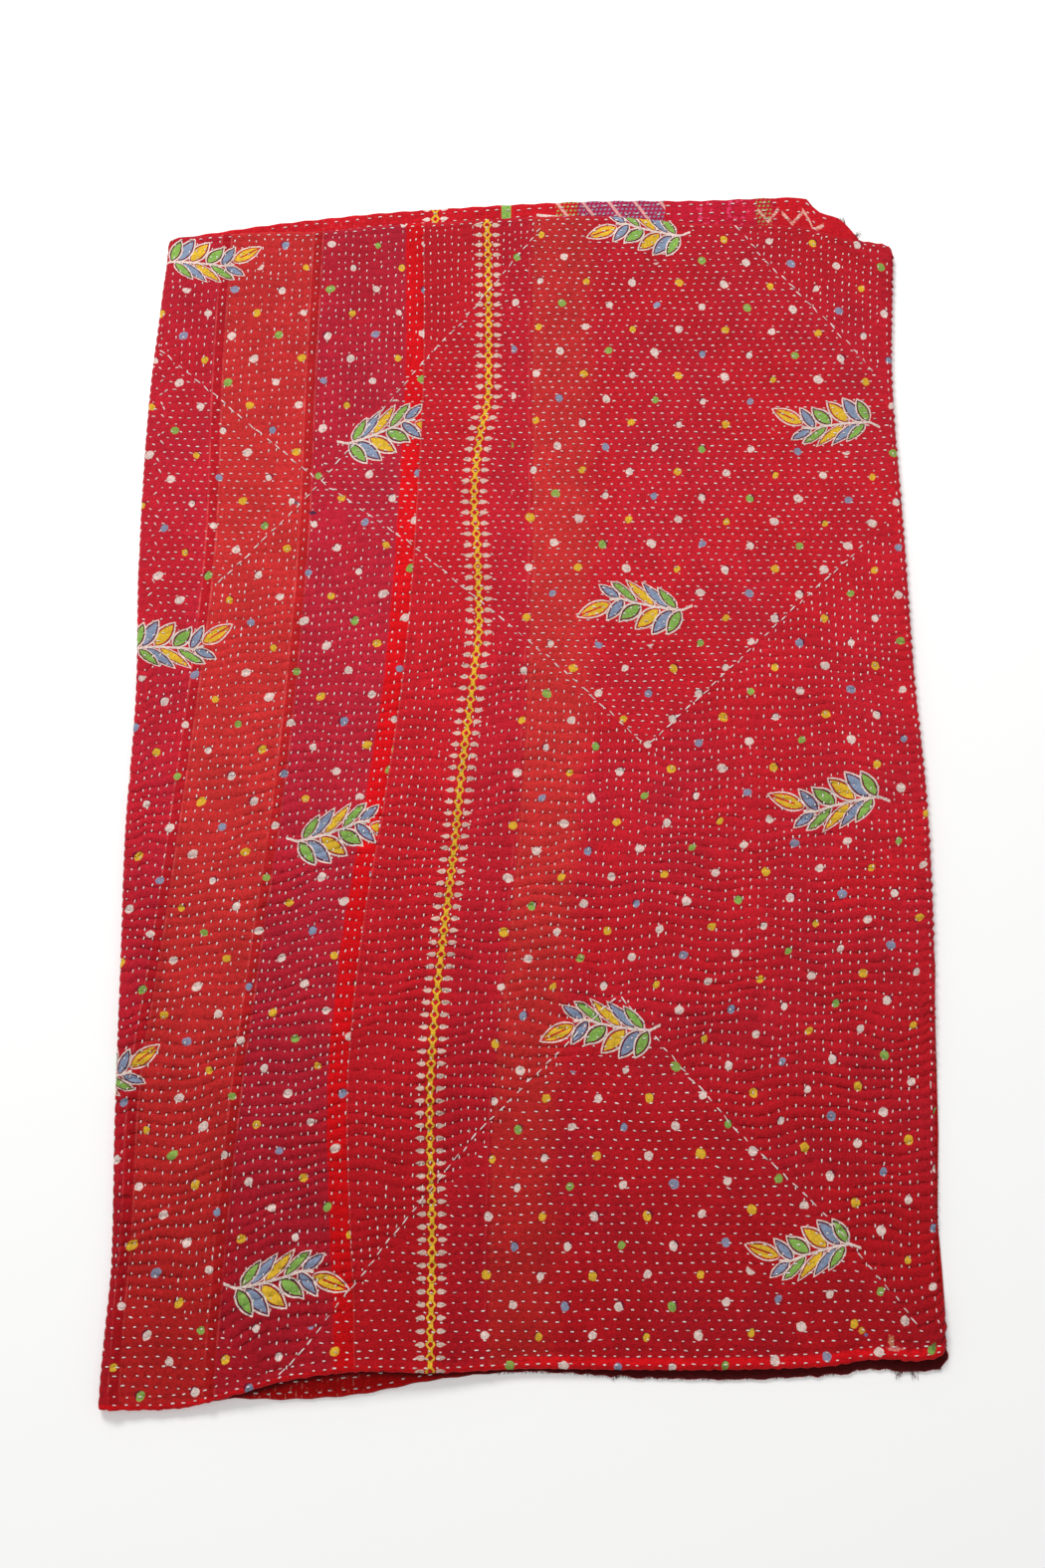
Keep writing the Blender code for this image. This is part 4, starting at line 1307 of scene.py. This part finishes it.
def border_print(n, colour, ink, groups, x, from_hem):
    """The printed border on the inside of the far hem: bars, small dots, florets and chevrons."""
    barred = n.between(x, 0.034, 0.162)
    across, up = (x + from_hem * 0.3) / BORDER_CELL, from_hem / BORDER_CELL
    small_dots = n.step(n.length(across - round(across), up - round(up)), 0.36, 0.20, 0.0, 0.8)
    bar = (x - from_hem * 0.7 - 0.036) / 0.0300
    stroke = from_hem - 0.014 - (x - 0.012) * 0.15
    chain = n.group(groups["chain"], Over=x + 0.106, Along=from_hem, Pitch=ink.chain_pitch)
    place = n.join(x, from_hem)
    florets = n.step(n.noise(place, 150.0, 1.0), 0.60, 0.64) * n.between(x, 0.195, 0.262, 0.004)
    colour = n.coats(
        colour,
        (n.between(x, 0.060, 0.160, 0.004) * 0.6, BORDER_PLUM),
        (n.between(x, 0.165, 0.290, 0.006), BORDER_CRIMSON),
        (small_dots * barred * n.step(x, 0.062, 0.060), ink.green),
        (small_dots * barred * n.step(x, 0.060, 0.062), ink.blue),
        (small_dots * n.between(x, 0.268, 0.286), ink.green),
        (n.step(abs(bar - round(bar)), 0.085, 0.055) * barred * 0.85, BAR_PINK),
        (n.step(abs(stroke), 0.0020, 0.0012) * n.between(x, 0.012, 0.040), ink.white),
        (n.between(x, -0.029, -0.018), ink.green),
        (chain["Drops"], ink.white),
        (chain["Links"] * n.step(from_hem, 0.022, 0.020), ink.yellow),
        (florets * 0.8, FLORET_PINK))
    # Patches of wear in the chevrons' print.
    wear_and_highlight_patches = n.step(n.noise(place, 190.0, 3.0), 0.36, 0.56, 0.15, 0.95)
    for middle, foot in CHEVRONS:
        aside = abs(x - middle)
        chevron = n.step(abs(from_hem + aside * 1.25 - foot), 0.0034, 0.0022)
        chevron = chevron * n.step(aside, 0.0125, 0.0115)
        colour = n.blend(chevron * wear_and_highlight_patches, colour, CHEVRON_PINK)
    return colour


def plain_backing(n, place, size, ink, groups):
    """The inside: plain red with worn ticks, its far border, and painted shadow and shade at the near hem."""
    x, y = n.split(place)
    from_far, near_hem = n.attribute("from_far_hem"), n.attribute("from_near_hem")
    column = (x + n.noise(place, 60.0) * 0.006) / TICK_COLUMN
    turn = y / TICK_ROW + round(column) * 0.37
    tick = n.step(abs(column - round(column)), 0.13, 0.06) * n.step(abs(turn - round(turn)), 0.30, 0.22)
    tick = tick * n.step(n.noise(place, 130.0), 0.44, 0.56) * 0.45 * n.between(x, -0.285, -0.165, 0.01)
    colour = n.coats(
        soaked(n, n.blend(0.15, size.backing, size.crimson), y),
        (tick, TICK_PINK),
        (n.step(from_far, BORDER_END, BORDER_FADE, 0.0, 0.6), BORDER_RED))
    printed = border_print(n, colour, ink, groups, x, from_far)
    colour = n.blend(n.step(from_far, BORDER_END, BORDER_FADE), colour, printed)
    # Painted shadow under the lifted arch of the face's near hem, and painted shade on the under half where
    # it shows beyond that hem, in one dark red.
    painted_arch_shadow = (n.step(x, -0.035, -0.075) * n.step(near_hem, -0.011, -0.003, 0.0, 0.85)
                  * n.step(near_hem, 0.060, 0.050))
    painted_under_layer_shade = n.step(x, -0.075, -0.035) * n.step(near_hem, 0.040, 0.030, 0.0, 0.92)
    return n.blend(painted_arch_shadow + painted_under_layer_shade, colour, NEAR_HEM_PAINTED_SHADE)


def cloth_material(name, dye, relief_depth, size, ink, groups):
    """Woven, quilted and worn cotton with painted shade in its creases, and a function that dyes and prints
    it.
    """
    material, n, shader = new_material(name)
    place = n.object_place()
    weave = n.group(groups["weave"], Place=place)
    relief = n.group(groups["quilting"], Upright=n.uv("upright"), Across=n.uv("across"), Place=place,
                     Diamond=n.attribute("in_diamond"), Pull=n.attribute("pull"))
    # The cotton's tone, mottled at random and by its weave, times painted shade in the quilting's creases and
    # at its dimples.
    value = (n.step(n.noise(place, 520.0, 3.0, 0.8), 0.3, 0.7, 0.72, 1.28)
             * n.step(n.noise(place, 24.0, 3.0, 0.6), 0.3, 0.7, 0.90, 1.08)
             * n.step(weave["Speckle"], 0.3, 0.7, 0.90, 1.08)
             * n.step(relief["Crease"], 0.1, 1.3, 1.0, 0.70))
    colour = dye(n, place, size, ink, groups)
    n.put(n.blend(1.0, colour, n.join(value, value, value), "MULTIPLY"), shader["Base Color"])
    n.put(n.step(weave["Speckle"], 0.2, 0.8, 0.97, 0.84), shader["Roughness"])
    n.put(n.bump(relief["Height"] * relief_depth + weave["Height"] * WEAVE_RELIEF), shader["Normal"])
    for socket, amount in (("Sheen Weight", 0.03), ("Sheen Roughness", 0.5), ("Specular IOR Level", 0.12)):
        shader[socket].default_value = amount
    return material


def thread_material(sewing):
    """White cotton sewing thread, its plies twisted round each other with painted shade between them, made
    once.
    """
    made = bpy.data.materials.get("sewing_thread")
    if made:
        return made
    material, n, shader = new_material("sewing_thread")
    along, turn = n.split(n.uv("ply"))
    ply = n.math("SINE", along * (2 * math.pi / PLY_PITCH) + turn * (2 * math.pi * 2))
    place = n.object_place()
    soil = (n.step(n.noise(place, 150.0, 2.0), 0.42, 0.70, 0.0, 0.70)
            + n.step(n.split(place)[1], -0.25, -0.65, 0.0, 0.15))
    # Painted shade in the grooves between the plies.
    groove = n.step(ply, -1.0, 0.0, 0.18, 0.0)
    colour = n.coats(sewing.thread, (soil, SOILED_THREAD), (groove, PLY_GROOVE_SHADE))
    n.put(colour, shader["Base Color"])
    n.put(n.bump(ply * PLY_RELIEF), shader["Normal"])
    n.put(n.step(ply, -1.0, 1.0, 0.85, 0.62), shader["Roughness"])
    shader["Sheen Weight"].default_value = 0.15
    return material


# Sewn pieces


def add_piece(name, mesh, *materials):
    """Make a mesh an object of the quilt, riding on its body."""
    for material in materials:
        mesh.materials.append(material)
    piece = bpy.data.objects.new(name, mesh)
    bpy.context.scene.collection.objects.link(piece)
    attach(piece, BODY)
    return piece


def unit(turn):
    """Flat unit vectors at angles from the X axis."""
    return np.stack([np.cos(turn), np.sin(turn)], axis=-1)


def heading(start, end):
    """Angles from the X axis at which points lead to others."""
    return np.arctan2(end[:, 1] - start[:, 1], end[:, 0] - start[:, 0])


def draws(sewing, name):
    """The random numbers of one kind of sewing."""
    return np.random.default_rng(sewing.seed + DRAWS.index(name))


def gather(runs):
    """Join runs of the same few arrays, end to end."""
    return [np.concatenate(parts) for parts in zip(*runs)]


def repeated(faces, count, per):
    """The faces of one part for each of many parts, which have as many points each."""
    return [[base + k for k in face] for base in range(0, count * per, per) for face in faces]


def stitches_mesh(name, starts, ends, width, rise):
    """Many stitches as grains of thread from start to end, each dipping into the cloth at its ends."""
    along = ends - starts
    length = np.linalg.norm(along, axis=1, keepdims=True)
    along = along / length
    side = np.cross(np.array([0.0, 0.0, 1.0]), along)
    side /= np.linalg.norm(side, axis=1, keepdims=True)
    up = np.cross(along, side)
    half = np.broadcast_to(width, len(starts))[:, None] / 2
    points, places = [starts - up * rise * STITCH_DIP], [(0.0, 0.5)]
    for share in STITCH_RINGS:
        for k in range(STITCH_SIDES):
            angle = 2 * math.pi * (k + 0.5) / STITCH_SIDES
            raised = math.cos(angle) * rise * STITCH_ARCH + rise * STITCH_RAISED
            off = side * (math.sin(angle) * half) + up * raised
            points.append(starts + along * length * share + off)
            places.append((share, k / STITCH_SIDES))
    points.append(ends - up * rise * STITCH_DIP)
    places.append((1.0, 0.5))
    per, faces = len(points), []
    for k in range(STITCH_SIDES):
        a, b = 1 + k, 1 + (k + 1) % STITCH_SIDES
        c, d = a + STITCH_SIDES, b + STITCH_SIDES
        faces += [(0, b, a), (a, b, d), (a, d, c), (per - 1, c, d)]
    mesh = smooth_mesh(name, np.stack(points, axis=1).reshape(-1, 3), repeated(faces, len(starts), per))
    shares, turns = np.array(places).T
    corners = corner_points(mesh)
    write_uv(mesh, "ply", (length * shares).ravel()[corners], np.tile(turns, len(starts))[corners])
    return mesh


def stitches_on_face(face, spots, rise):
    """Start and end points of stitches drawn down into the face."""
    centres, ways, lengths = spots
    middle = face.on_face(centres)[:, 2]
    points = []
    for way in (-ways, ways):
        end = face.on_face(centres + way * (lengths / 2)[:, None])
        end[:, 2] = mix(end[:, 2], middle, DRAWN_DOWN) + rise * STITCH_SEAT
        points.append(end)
    return points


def fold_stitches(face, sewing):
    """Start and end points of the running stitches round the outside of the fold."""
    chance = draws(sewing, "fold")
    radius = face.size.thickness + face.size.fold_gap / 2
    starts, ends = [], []
    for row in range(2 * ROWS_PER_RIPPLE, face.rows - ROWS_PER_RIPPLE, ROWS_PER_RIPPLE):
        for turn in FOLD_ANGLES:
            angle = turn + chance.normal(0.0, FOLD_TURN)
            x = face.shoulder[row] - radius * math.sin(angle)
            y = face.y[row, 0] + chance.normal(0.0, FOLD_STRAY)
            z = radius + radius * math.cos(angle)
            half = sewing.stitch_length * chance.uniform(0.4, 0.65)
            starts.append((x, y - half, z))
            ends.append((x, y + half, z))
    return np.array(starts), np.array(ends)


def upright_stitches(face, sewing):
    """Centres, directions and lengths of the running stitches outside the diamonds."""
    chance = draws(sewing, "upright")
    columns = np.arange(face.last + 1)
    runs = []
    for row in range(ROWS_PER_RIPPLE, face.rows, ROWS_PER_RIPPLE):
        lanes = np.arange(math.ceil(face.lane[row, 0]), math.floor(face.lane[row, -1]))
        count = len(lanes)
        spots = np.interp(lanes + chance.normal(0.0, LANE_STRAY, count), face.lane[row], columns)
        at = face.place(spots, row + chance.normal(0.0, ROW_STRAY, count))
        x, y = at[:, 0], at[:, 1]
        behind, ahead = (
            face.place(np.interp(lanes, face.lane[beside], columns), np.full(count, float(beside)))
            for beside in (row - 1, row + 1))
        turn = heading(behind, ahead) - sewing.lean + chance.normal(0.0, TURN_STRAY, count)
        clear = (y > hem("face_near", x) + UPRIGHT_CLEAR) & (y < hem("face_far", x) - SIDE_CLEAR)
        keep = (diamond_share(x, y, 0.002) < 0.5) & clear & (chance.random(count) > MISSED)
        lengths = sewing.stitch_length * mix(*UPRIGHT_LENGTHS, chance.random(count) ** 2)
        runs.append((at[keep, :2], unit(turn)[keep], lengths[keep]))
    return gather(runs)


def across_stitches(sewing):
    """Centres, directions and lengths of the running stitches inside the diamonds."""
    chance = draws(sewing, "across")
    runs = []
    for diamond in DIAMONDS:
        xs, ys = zip(*diamond.corners)
        low_x, high_x = max(min(xs), -HALF_ACROSS), min(max(xs), HALF_ACROSS)
        low_y, high_y = max(min(ys), SEWN_Y[0]), min(max(ys), SEWN_Y[1])
        pitch, gap = diamond.stitch_pitch, diamond.row_gap
        for count in range(math.ceil(low_y / gap), math.floor(high_y / gap) + 1):
            shift = 0.5 * (count % 2) + 0.25 * math.sin(count * 0.9) + chance.normal(0.0, ROW_SHIFT)
            x = np.arange(low_x + pitch * shift, high_x, pitch)
            x = x + chance.normal(0.0, PITCH_STRAY * pitch, len(x))
            y = count * gap
            for _step in range(3):
                y = count * gap + DIAMOND_SWAY * row_sway(x, y)
            rise = row_sway(x + HALF_SPAN, y) - row_sway(x - HALF_SPAN, y)
            slope = DIAMOND_SWAY * rise / (2 * HALF_SPAN)
            turn = np.arctan(slope) - ACROSS_LEAN + chance.normal(0.0, ACROSS_TURN, len(x))
            y = y + chance.normal(0.0, ACROSS_STRAY, len(x))
            on_cloth = ((x > line_x("fold", y) + FOLD_CLEAR) & (x < line_x("face_hem", y) - SIDE_CLEAR)
                        & (y < hem("face_far", x) - SIDE_CLEAR) & (y > hem("face_near", x) + NEAR_CLEAR))
            keep = (depth_inside(diamond.corners, x, y) > 0.001) & on_cloth
            lengths = sewing.stitch_length * mix(*ACROSS_LENGTHS, chance.random(len(x)) ** 2)
            runs.append((np.stack([x, y], axis=-1)[keep], unit(turn)[keep], lengths[keep]))
    return gather(runs)


def stitches_along(lines, chance, pitch, hand):
    """Centres, directions and shares of length of stitches along lines through points."""
    runs = []
    for line in lines:
        points = np.array(line)
        reach = np.concatenate([[0.0], np.cumsum(np.linalg.norm(np.diff(points, axis=0), axis=1))])
        at = np.arange(pitch / 2, reach[-1], pitch)
        at = at + chance.normal(0.0, ALONG_STRAY * pitch, len(at))
        behind, place, ahead = (
            np.stack([np.interp(at + off, reach, points[:, k]) for k in (0, 1)], axis=-1)
            for off in (-BESIDE, 0.0, BESIDE))
        centres = place + chance.normal(0.0, hand.stray, (len(at), 2))
        turn = heading(behind, ahead)
        if hand.turn:
            turn = turn + chance.normal(0.0, hand.turn, len(at))
        runs.append((centres, unit(turn), chance.uniform(*hand.lengths, len(at))))
    return gather(runs)


def along_hem(name, x, off):
    """Points beside a named end hem at stations across the quilt."""
    return np.stack([x, hem(name, x) + off], axis=-1)


def line_stitches(sewing):
    """Centres, directions and lengths of the long stitches along the diamonds' sides."""
    pitch = sewing.long_stitch * LONG_PITCH
    centres, ways, shares = stitches_along(DIAMOND_LINES, draws(sewing, "lines"), pitch, LINE_HAND)
    return centres, ways, sewing.long_stitch * shares


def hem_stitches(sewing):
    """Centres, directions and lengths of the running stitches along the hems of the face."""
    x, y = np.linspace(*HEM_STRETCH, 120), np.linspace(*SIDE_STRETCH, 120)
    lines = [along_hem("face_near", x, back) for back in NEAR_ROWS]
    lines += [along_hem("face_far", x, -SIDE_ROW), np.stack([line_x("face_hem", y) - SIDE_ROW, y], axis=-1)]
    centres, ways, shares = stitches_along(lines, draws(sewing, "hems"), HEM_ROW_PITCH, HEM_HAND)
    return centres, ways, sewing.stitch_length * shares


def inner_stitches(size, sewing):
    """Start and end points of the stitches on the inside of the under half, where it shows."""
    border, arch = np.linspace(*BORDER_STRETCH, 120), np.linspace(*ARCH_STRETCH, 60)
    lines = ([along_hem("under_far", border, -back) for back in INNER_FAR_ROWS]
             + [along_hem("under_near", arch, back) for back in INNER_NEAR_ROWS])
    centres, ways, shares = stitches_along(lines, draws(sewing, "inner"), INNER_ROW_PITCH, INNER_HAND)
    half = ways * (sewing.stitch_length * shares)[:, None]
    height = np.full((len(centres), 1), size.thickness + sewing.thread_rise * 0.5)
    return np.hstack([centres - half, height]), np.hstack([centres + half, height])


def frayed_strands(size, chance):
    """Roots, headings, lengths and curls of the threads that fray from the under half's hems."""
    near_x, side_y, far_x = (chance.uniform(fray.start, fray.end, fray.count) for fray in FRAYS)
    side_x = np.maximum(line_x("under_hem", side_y), line_x("face_hem", side_y)) - FRAY_ROOT
    hems = ((along_hem("under_near", near_x, FRAY_ROOT), -math.pi / 2),
            (np.stack([side_x, side_y], axis=-1), 0.0),
            (along_hem("under_far", far_x, -FRAY_ROOT), math.pi / 4))
    runs = [(spots, way, FRAY_FAN, fray.length, FRAY_CURL) for (spots, way), fray in zip(hems, FRAYS)]
    for tuft in TUFTS:
        spots = np.array(tuft.root) + chance.normal(0.0, tuft.spread, (tuft.count, 2))
        runs.append((spots, math.radians(tuft.heading), TUFT_FAN, tuft.length, TUFT_CURL))
    strands = []
    for spots, way, fan, mean, curl in runs:
        count = len(spots)
        turn = way + chance.normal(0.0, fan, count)
        roots = np.hstack([spots, chance.uniform(FRAY_LOW, size.thickness, (count, 1))])
        lengths = mean * chance.uniform(0.4, 1.5, count)
        strands.append((roots, turn, lengths, chance.normal(0.0, curl, count)))
    return gather(strands)


def strands_mesh(name, strands, thickness, chance):
    """Loose threads, each a thin tapering tube that curls away from its root."""
    roots, turn, lengths, curl = (part.reshape(len(part), -1) for part in strands)
    share = np.linspace(0.0, 1.0, STRAND_JOINTS)[None]
    angle = turn + curl * share ** 1.5
    ways = unit(angle)
    step = (lengths / (STRAND_JOINTS - 1))[..., None]
    reach = np.cumsum(ways * step, axis=1) - ways[:, :1] * step
    hump = STRAND_HUMP * np.sin(math.pi * share) * chance.random((len(roots), 1))
    lift = roots[:, 2:] * (1.0 - share) + FRAY_LOW * share + hump
    centre = np.concatenate([roots[:, None, :2] + reach, lift[..., None]], axis=-1)
    radius = thickness / 2 * (1.0 - STRAND_TAPER * share)[..., None]
    sides = []
    for side in range(STRAND_SIDES):
        around = 2 * math.pi * side / STRAND_SIDES
        beside = unit(angle + math.pi / 2) * math.cos(around)
        offset = np.concatenate([beside, np.full(angle.shape + (1,), math.sin(around))], axis=-1)
        sides.append(centre + offset * radius)
    points = np.stack(sides, axis=2).reshape(-1, 3)
    points[:, 2] = np.maximum(points[:, 2], STRAND_CLEAR)
    end = (STRAND_JOINTS - 1) * STRAND_SIDES
    faces = [tuple(reversed(range(STRAND_SIDES))), tuple(range(end, end + STRAND_SIDES))]
    for low in range(0, end, STRAND_SIDES):
        for side in range(STRAND_SIDES):
            a, b = low + side, low + (side + 1) % STRAND_SIDES
            faces.append((a, b, b + STRAND_SIDES, a + STRAND_SIDES))
    return smooth_mesh(name, points, repeated(faces, len(roots), end + STRAND_SIDES))


def sew(name, face, sewing, spots, *more):
    """Make a piece of stitches lying on the face, and of more with their own ends."""
    starts, ends = gather((stitches_on_face(face, spots, sewing.thread_rise), *more))
    chance = draws(sewing, "widths")
    width = sewing.thread_width * chance.uniform(0.8, 1.15, len(starts))
    mesh = stitches_mesh(name, starts, ends, width, sewing.thread_rise)
    add_piece(name, mesh, thread_material(sewing))


# Operators


class KANTHA_OT_cloth(bpy.types.Operator):
    """Make the folded cloth, a thin closed sheet with its puckers, tucks, print and dyes"""

    bl_idname = "kantha.cloth"
    bl_label = "Folded Cloth"

    def execute(self, context):
        size, ink = context.scene.kantha_cloth, context.scene.kantha_print
        groups = {"dots": dots_group(), "sprig": sprig_group(leaf_group()), "chain": chain_group(),
                  "weave": weave_group(), "quilting": quilting_group()}
        outside = cloth_material("printed_cotton", printed_face, FACE_RELIEF, size, ink, groups)
        inside = cloth_material("plain_backing", plain_backing, BACKING_RELIEF, size, ink, groups)
        piece = add_piece("quilt_cloth", cloth_mesh(Face(size)), outside, inside)
        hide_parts(NODE)
        return {"FINISHED"}


class KANTHA_OT_upright_stitches(bpy.types.Operator):
    """Sew the upright running stitches outside the diamonds"""

    bl_idname = "kantha.upright_stitches"
    bl_label = "Upright Stitches"

    def execute(self, context):
        face, sewing = Face(context.scene.kantha_cloth), context.scene.kantha_sewing
        sew("upright_stitches", face, sewing, upright_stitches(face, sewing), fold_stitches(face, sewing))
        return {"FINISHED"}


class KANTHA_OT_across_stitches(bpy.types.Operator):
    """Sew the running stitches across the diamonds"""

    bl_idname = "kantha.across_stitches"
    bl_label = "Diamond Stitches"

    def execute(self, context):
        face, sewing = Face(context.scene.kantha_cloth), context.scene.kantha_sewing
        sew("diamond_stitches", face, sewing, across_stitches(sewing))
        return {"FINISHED"}


class KANTHA_OT_line_stitches(bpy.types.Operator):
    """Sew the long stitches along the diamonds' sides and the rows along the hems"""

    bl_idname = "kantha.line_stitches"
    bl_label = "Line and Hem Stitches"

    def execute(self, context):
        face, sewing = Face(context.scene.kantha_cloth), context.scene.kantha_sewing
        sew("diamond_lines", face, sewing, line_stitches(sewing))
        sew("hem_stitches", face, sewing, hem_stitches(sewing))
        return {"FINISHED"}


class KANTHA_OT_inner_stitches(bpy.types.Operator):
    """Sew the rows that show on the inside of the under half, at its far hem and under the arch"""

    bl_idname = "kantha.inner_stitches"
    bl_label = "Inner Stitches"

    def execute(self, context):
        size, sewing = context.scene.kantha_cloth, context.scene.kantha_sewing
        starts, ends = inner_stitches(size, sewing)
        mesh = stitches_mesh("inner_stitches", starts, ends, sewing.thread_width, sewing.thread_rise)
        add_piece("inner_stitches", mesh, thread_material(sewing))
        return {"FINISHED"}


class KANTHA_OT_frays(bpy.types.Operator):
    """Let threads fray from the worn hems of the under half"""

    bl_idname = "kantha.frays"
    bl_label = "Frayed Threads"

    def execute(self, context):
        size, sewing = context.scene.kantha_cloth, context.scene.kantha_sewing
        chance = draws(sewing, "frays")
        mesh = strands_mesh("frayed_threads", frayed_strands(size, chance), sewing.fray_width, chance)
        material, n, shader = new_material("frayed_cotton")
        dye = n.step(n.noise(n.object_place(), 400.0), 0.4, 0.6)
        n.put(n.blend(dye, FRAY_DARK, FRAY_LIGHT), shader["Base Color"])
        shader["Roughness"].default_value = 0.9
        add_piece("frayed_threads", mesh, material)
        return {"FINISHED"}


class KANTHA_OT_stage(bpy.types.Operator):
    """Lay the pale floor, hang the soft lights and stand the camera above the quilt"""

    bl_idname = "kantha.stage"
    bl_label = "Stage"

    def execute(self, context):
        scene, stage = context.scene, context.scene.kantha_stage
        bpy.ops.object.select_all(action="DESELECT")
        bpy.ops.mesh.primitive_plane_add(size=FLOOR_WIDTH, location=(0.0, 0.0, FLOOR_TOP))
        floor = context.object
        floor.name = "floor"
        material, n, shader = new_material("pale_floor")
        shade = n.step(n.noise(n.object_place(), 1.5), 0.3, 0.7, 0.0, 0.02)
        n.put(n.blend(shade, stage.floor, FLOOR_SHADE), shader["Base Color"])
        shader["Roughness"].default_value = 0.9
        shader["Emission Color"].default_value = WHITE
        shader["Emission Strength"].default_value = FLOOR_GLOW
        floor.data.materials.append(material)
        floor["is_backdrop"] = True

        lamp = bpy.data.lights.new("soft_key", "AREA")
        lamp.shape, lamp.energy = "RECTANGLE", stage.key_power
        lamp.size, lamp.size_y = KEY_SIZE
        key = bpy.data.objects.new("soft_key", lamp)
        key.location = KEY_PLACE
        key.rotation_euler = (-key.location).to_track_quat("-Z", "Y").to_euler()
        scene.collection.objects.link(key)

        scene.world = bpy.data.worlds.new("studio")
        scene.world.use_nodes = True
        sky = scene.world.node_tree.nodes["Background"].inputs
        sky["Color"].default_value = WHITE
        sky["Strength"].default_value = stage.sky
        scene.view_settings.view_transform = "Standard"

        lens = bpy.data.cameras.new("camera")
        lens.lens, lens.sensor_width = stage.lens, 36.0
        camera = bpy.data.objects.new("camera", lens)
        camera.location = stage.camera_place
        camera.rotation_euler = (stage.camera_tilt, 0.0, 0.0)
        scene.collection.objects.link(camera)
        scene.camera = camera
        return {"FINISHED"}


class KANTHA_PT_quilt(bpy.types.Panel):
    """The pieces of the quilt, in the order in which they are made"""

    bl_label = "Kantha Quilt"
    bl_space_type = "VIEW_3D"
    bl_region_type = "UI"
    bl_category = "Quilt"

    def draw(self, context):
        for operator in PIECES:
            self.layout.operator(operator.bl_idname)


SETTINGS = (
    ("kantha_cloth", QuiltClothSettings),
    ("kantha_print", QuiltPrintSettings),
    ("kantha_sewing", QuiltSewingSettings),
    ("kantha_stage", QuiltStageSettings),
)
PIECES = (
    KANTHA_OT_stage,
    KANTHA_OT_cloth,
    KANTHA_OT_upright_stitches,
    KANTHA_OT_across_stitches,
    KANTHA_OT_line_stitches,
    KANTHA_OT_inner_stitches,
    KANTHA_OT_frays,
)


def register():
    for name, settings in SETTINGS:
        bpy.utils.register_class(settings)
        setattr(bpy.types.Scene, name, PointerProperty(type=settings))
    for operator in PIECES:
        bpy.utils.register_class(operator)
    bpy.utils.register_class(KANTHA_PT_quilt)


def unregister():
    bpy.utils.unregister_class(KANTHA_PT_quilt)
    for operator in reversed(PIECES):
        bpy.utils.unregister_class(operator)
    for name, settings in reversed(SETTINGS):
        delattr(bpy.types.Scene, name)
        bpy.utils.unregister_class(settings)


def main():
    """Make every piece in order."""
    packed = [list(corner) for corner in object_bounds()]
    register()
    bpy.ops.kantha.stage()
    bpy.ops.kantha.cloth()
    bpy.ops.kantha.upright_stitches()
    bpy.ops.kantha.across_stitches()
    bpy.ops.kantha.line_stitches()
    bpy.ops.kantha.inner_stitches()
    bpy.ops.kantha.frays()
    dressed = [list(corner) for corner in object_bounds()]
    {"packed": packed, "dressed": dressed}


if __name__ == "__main__":
    main()
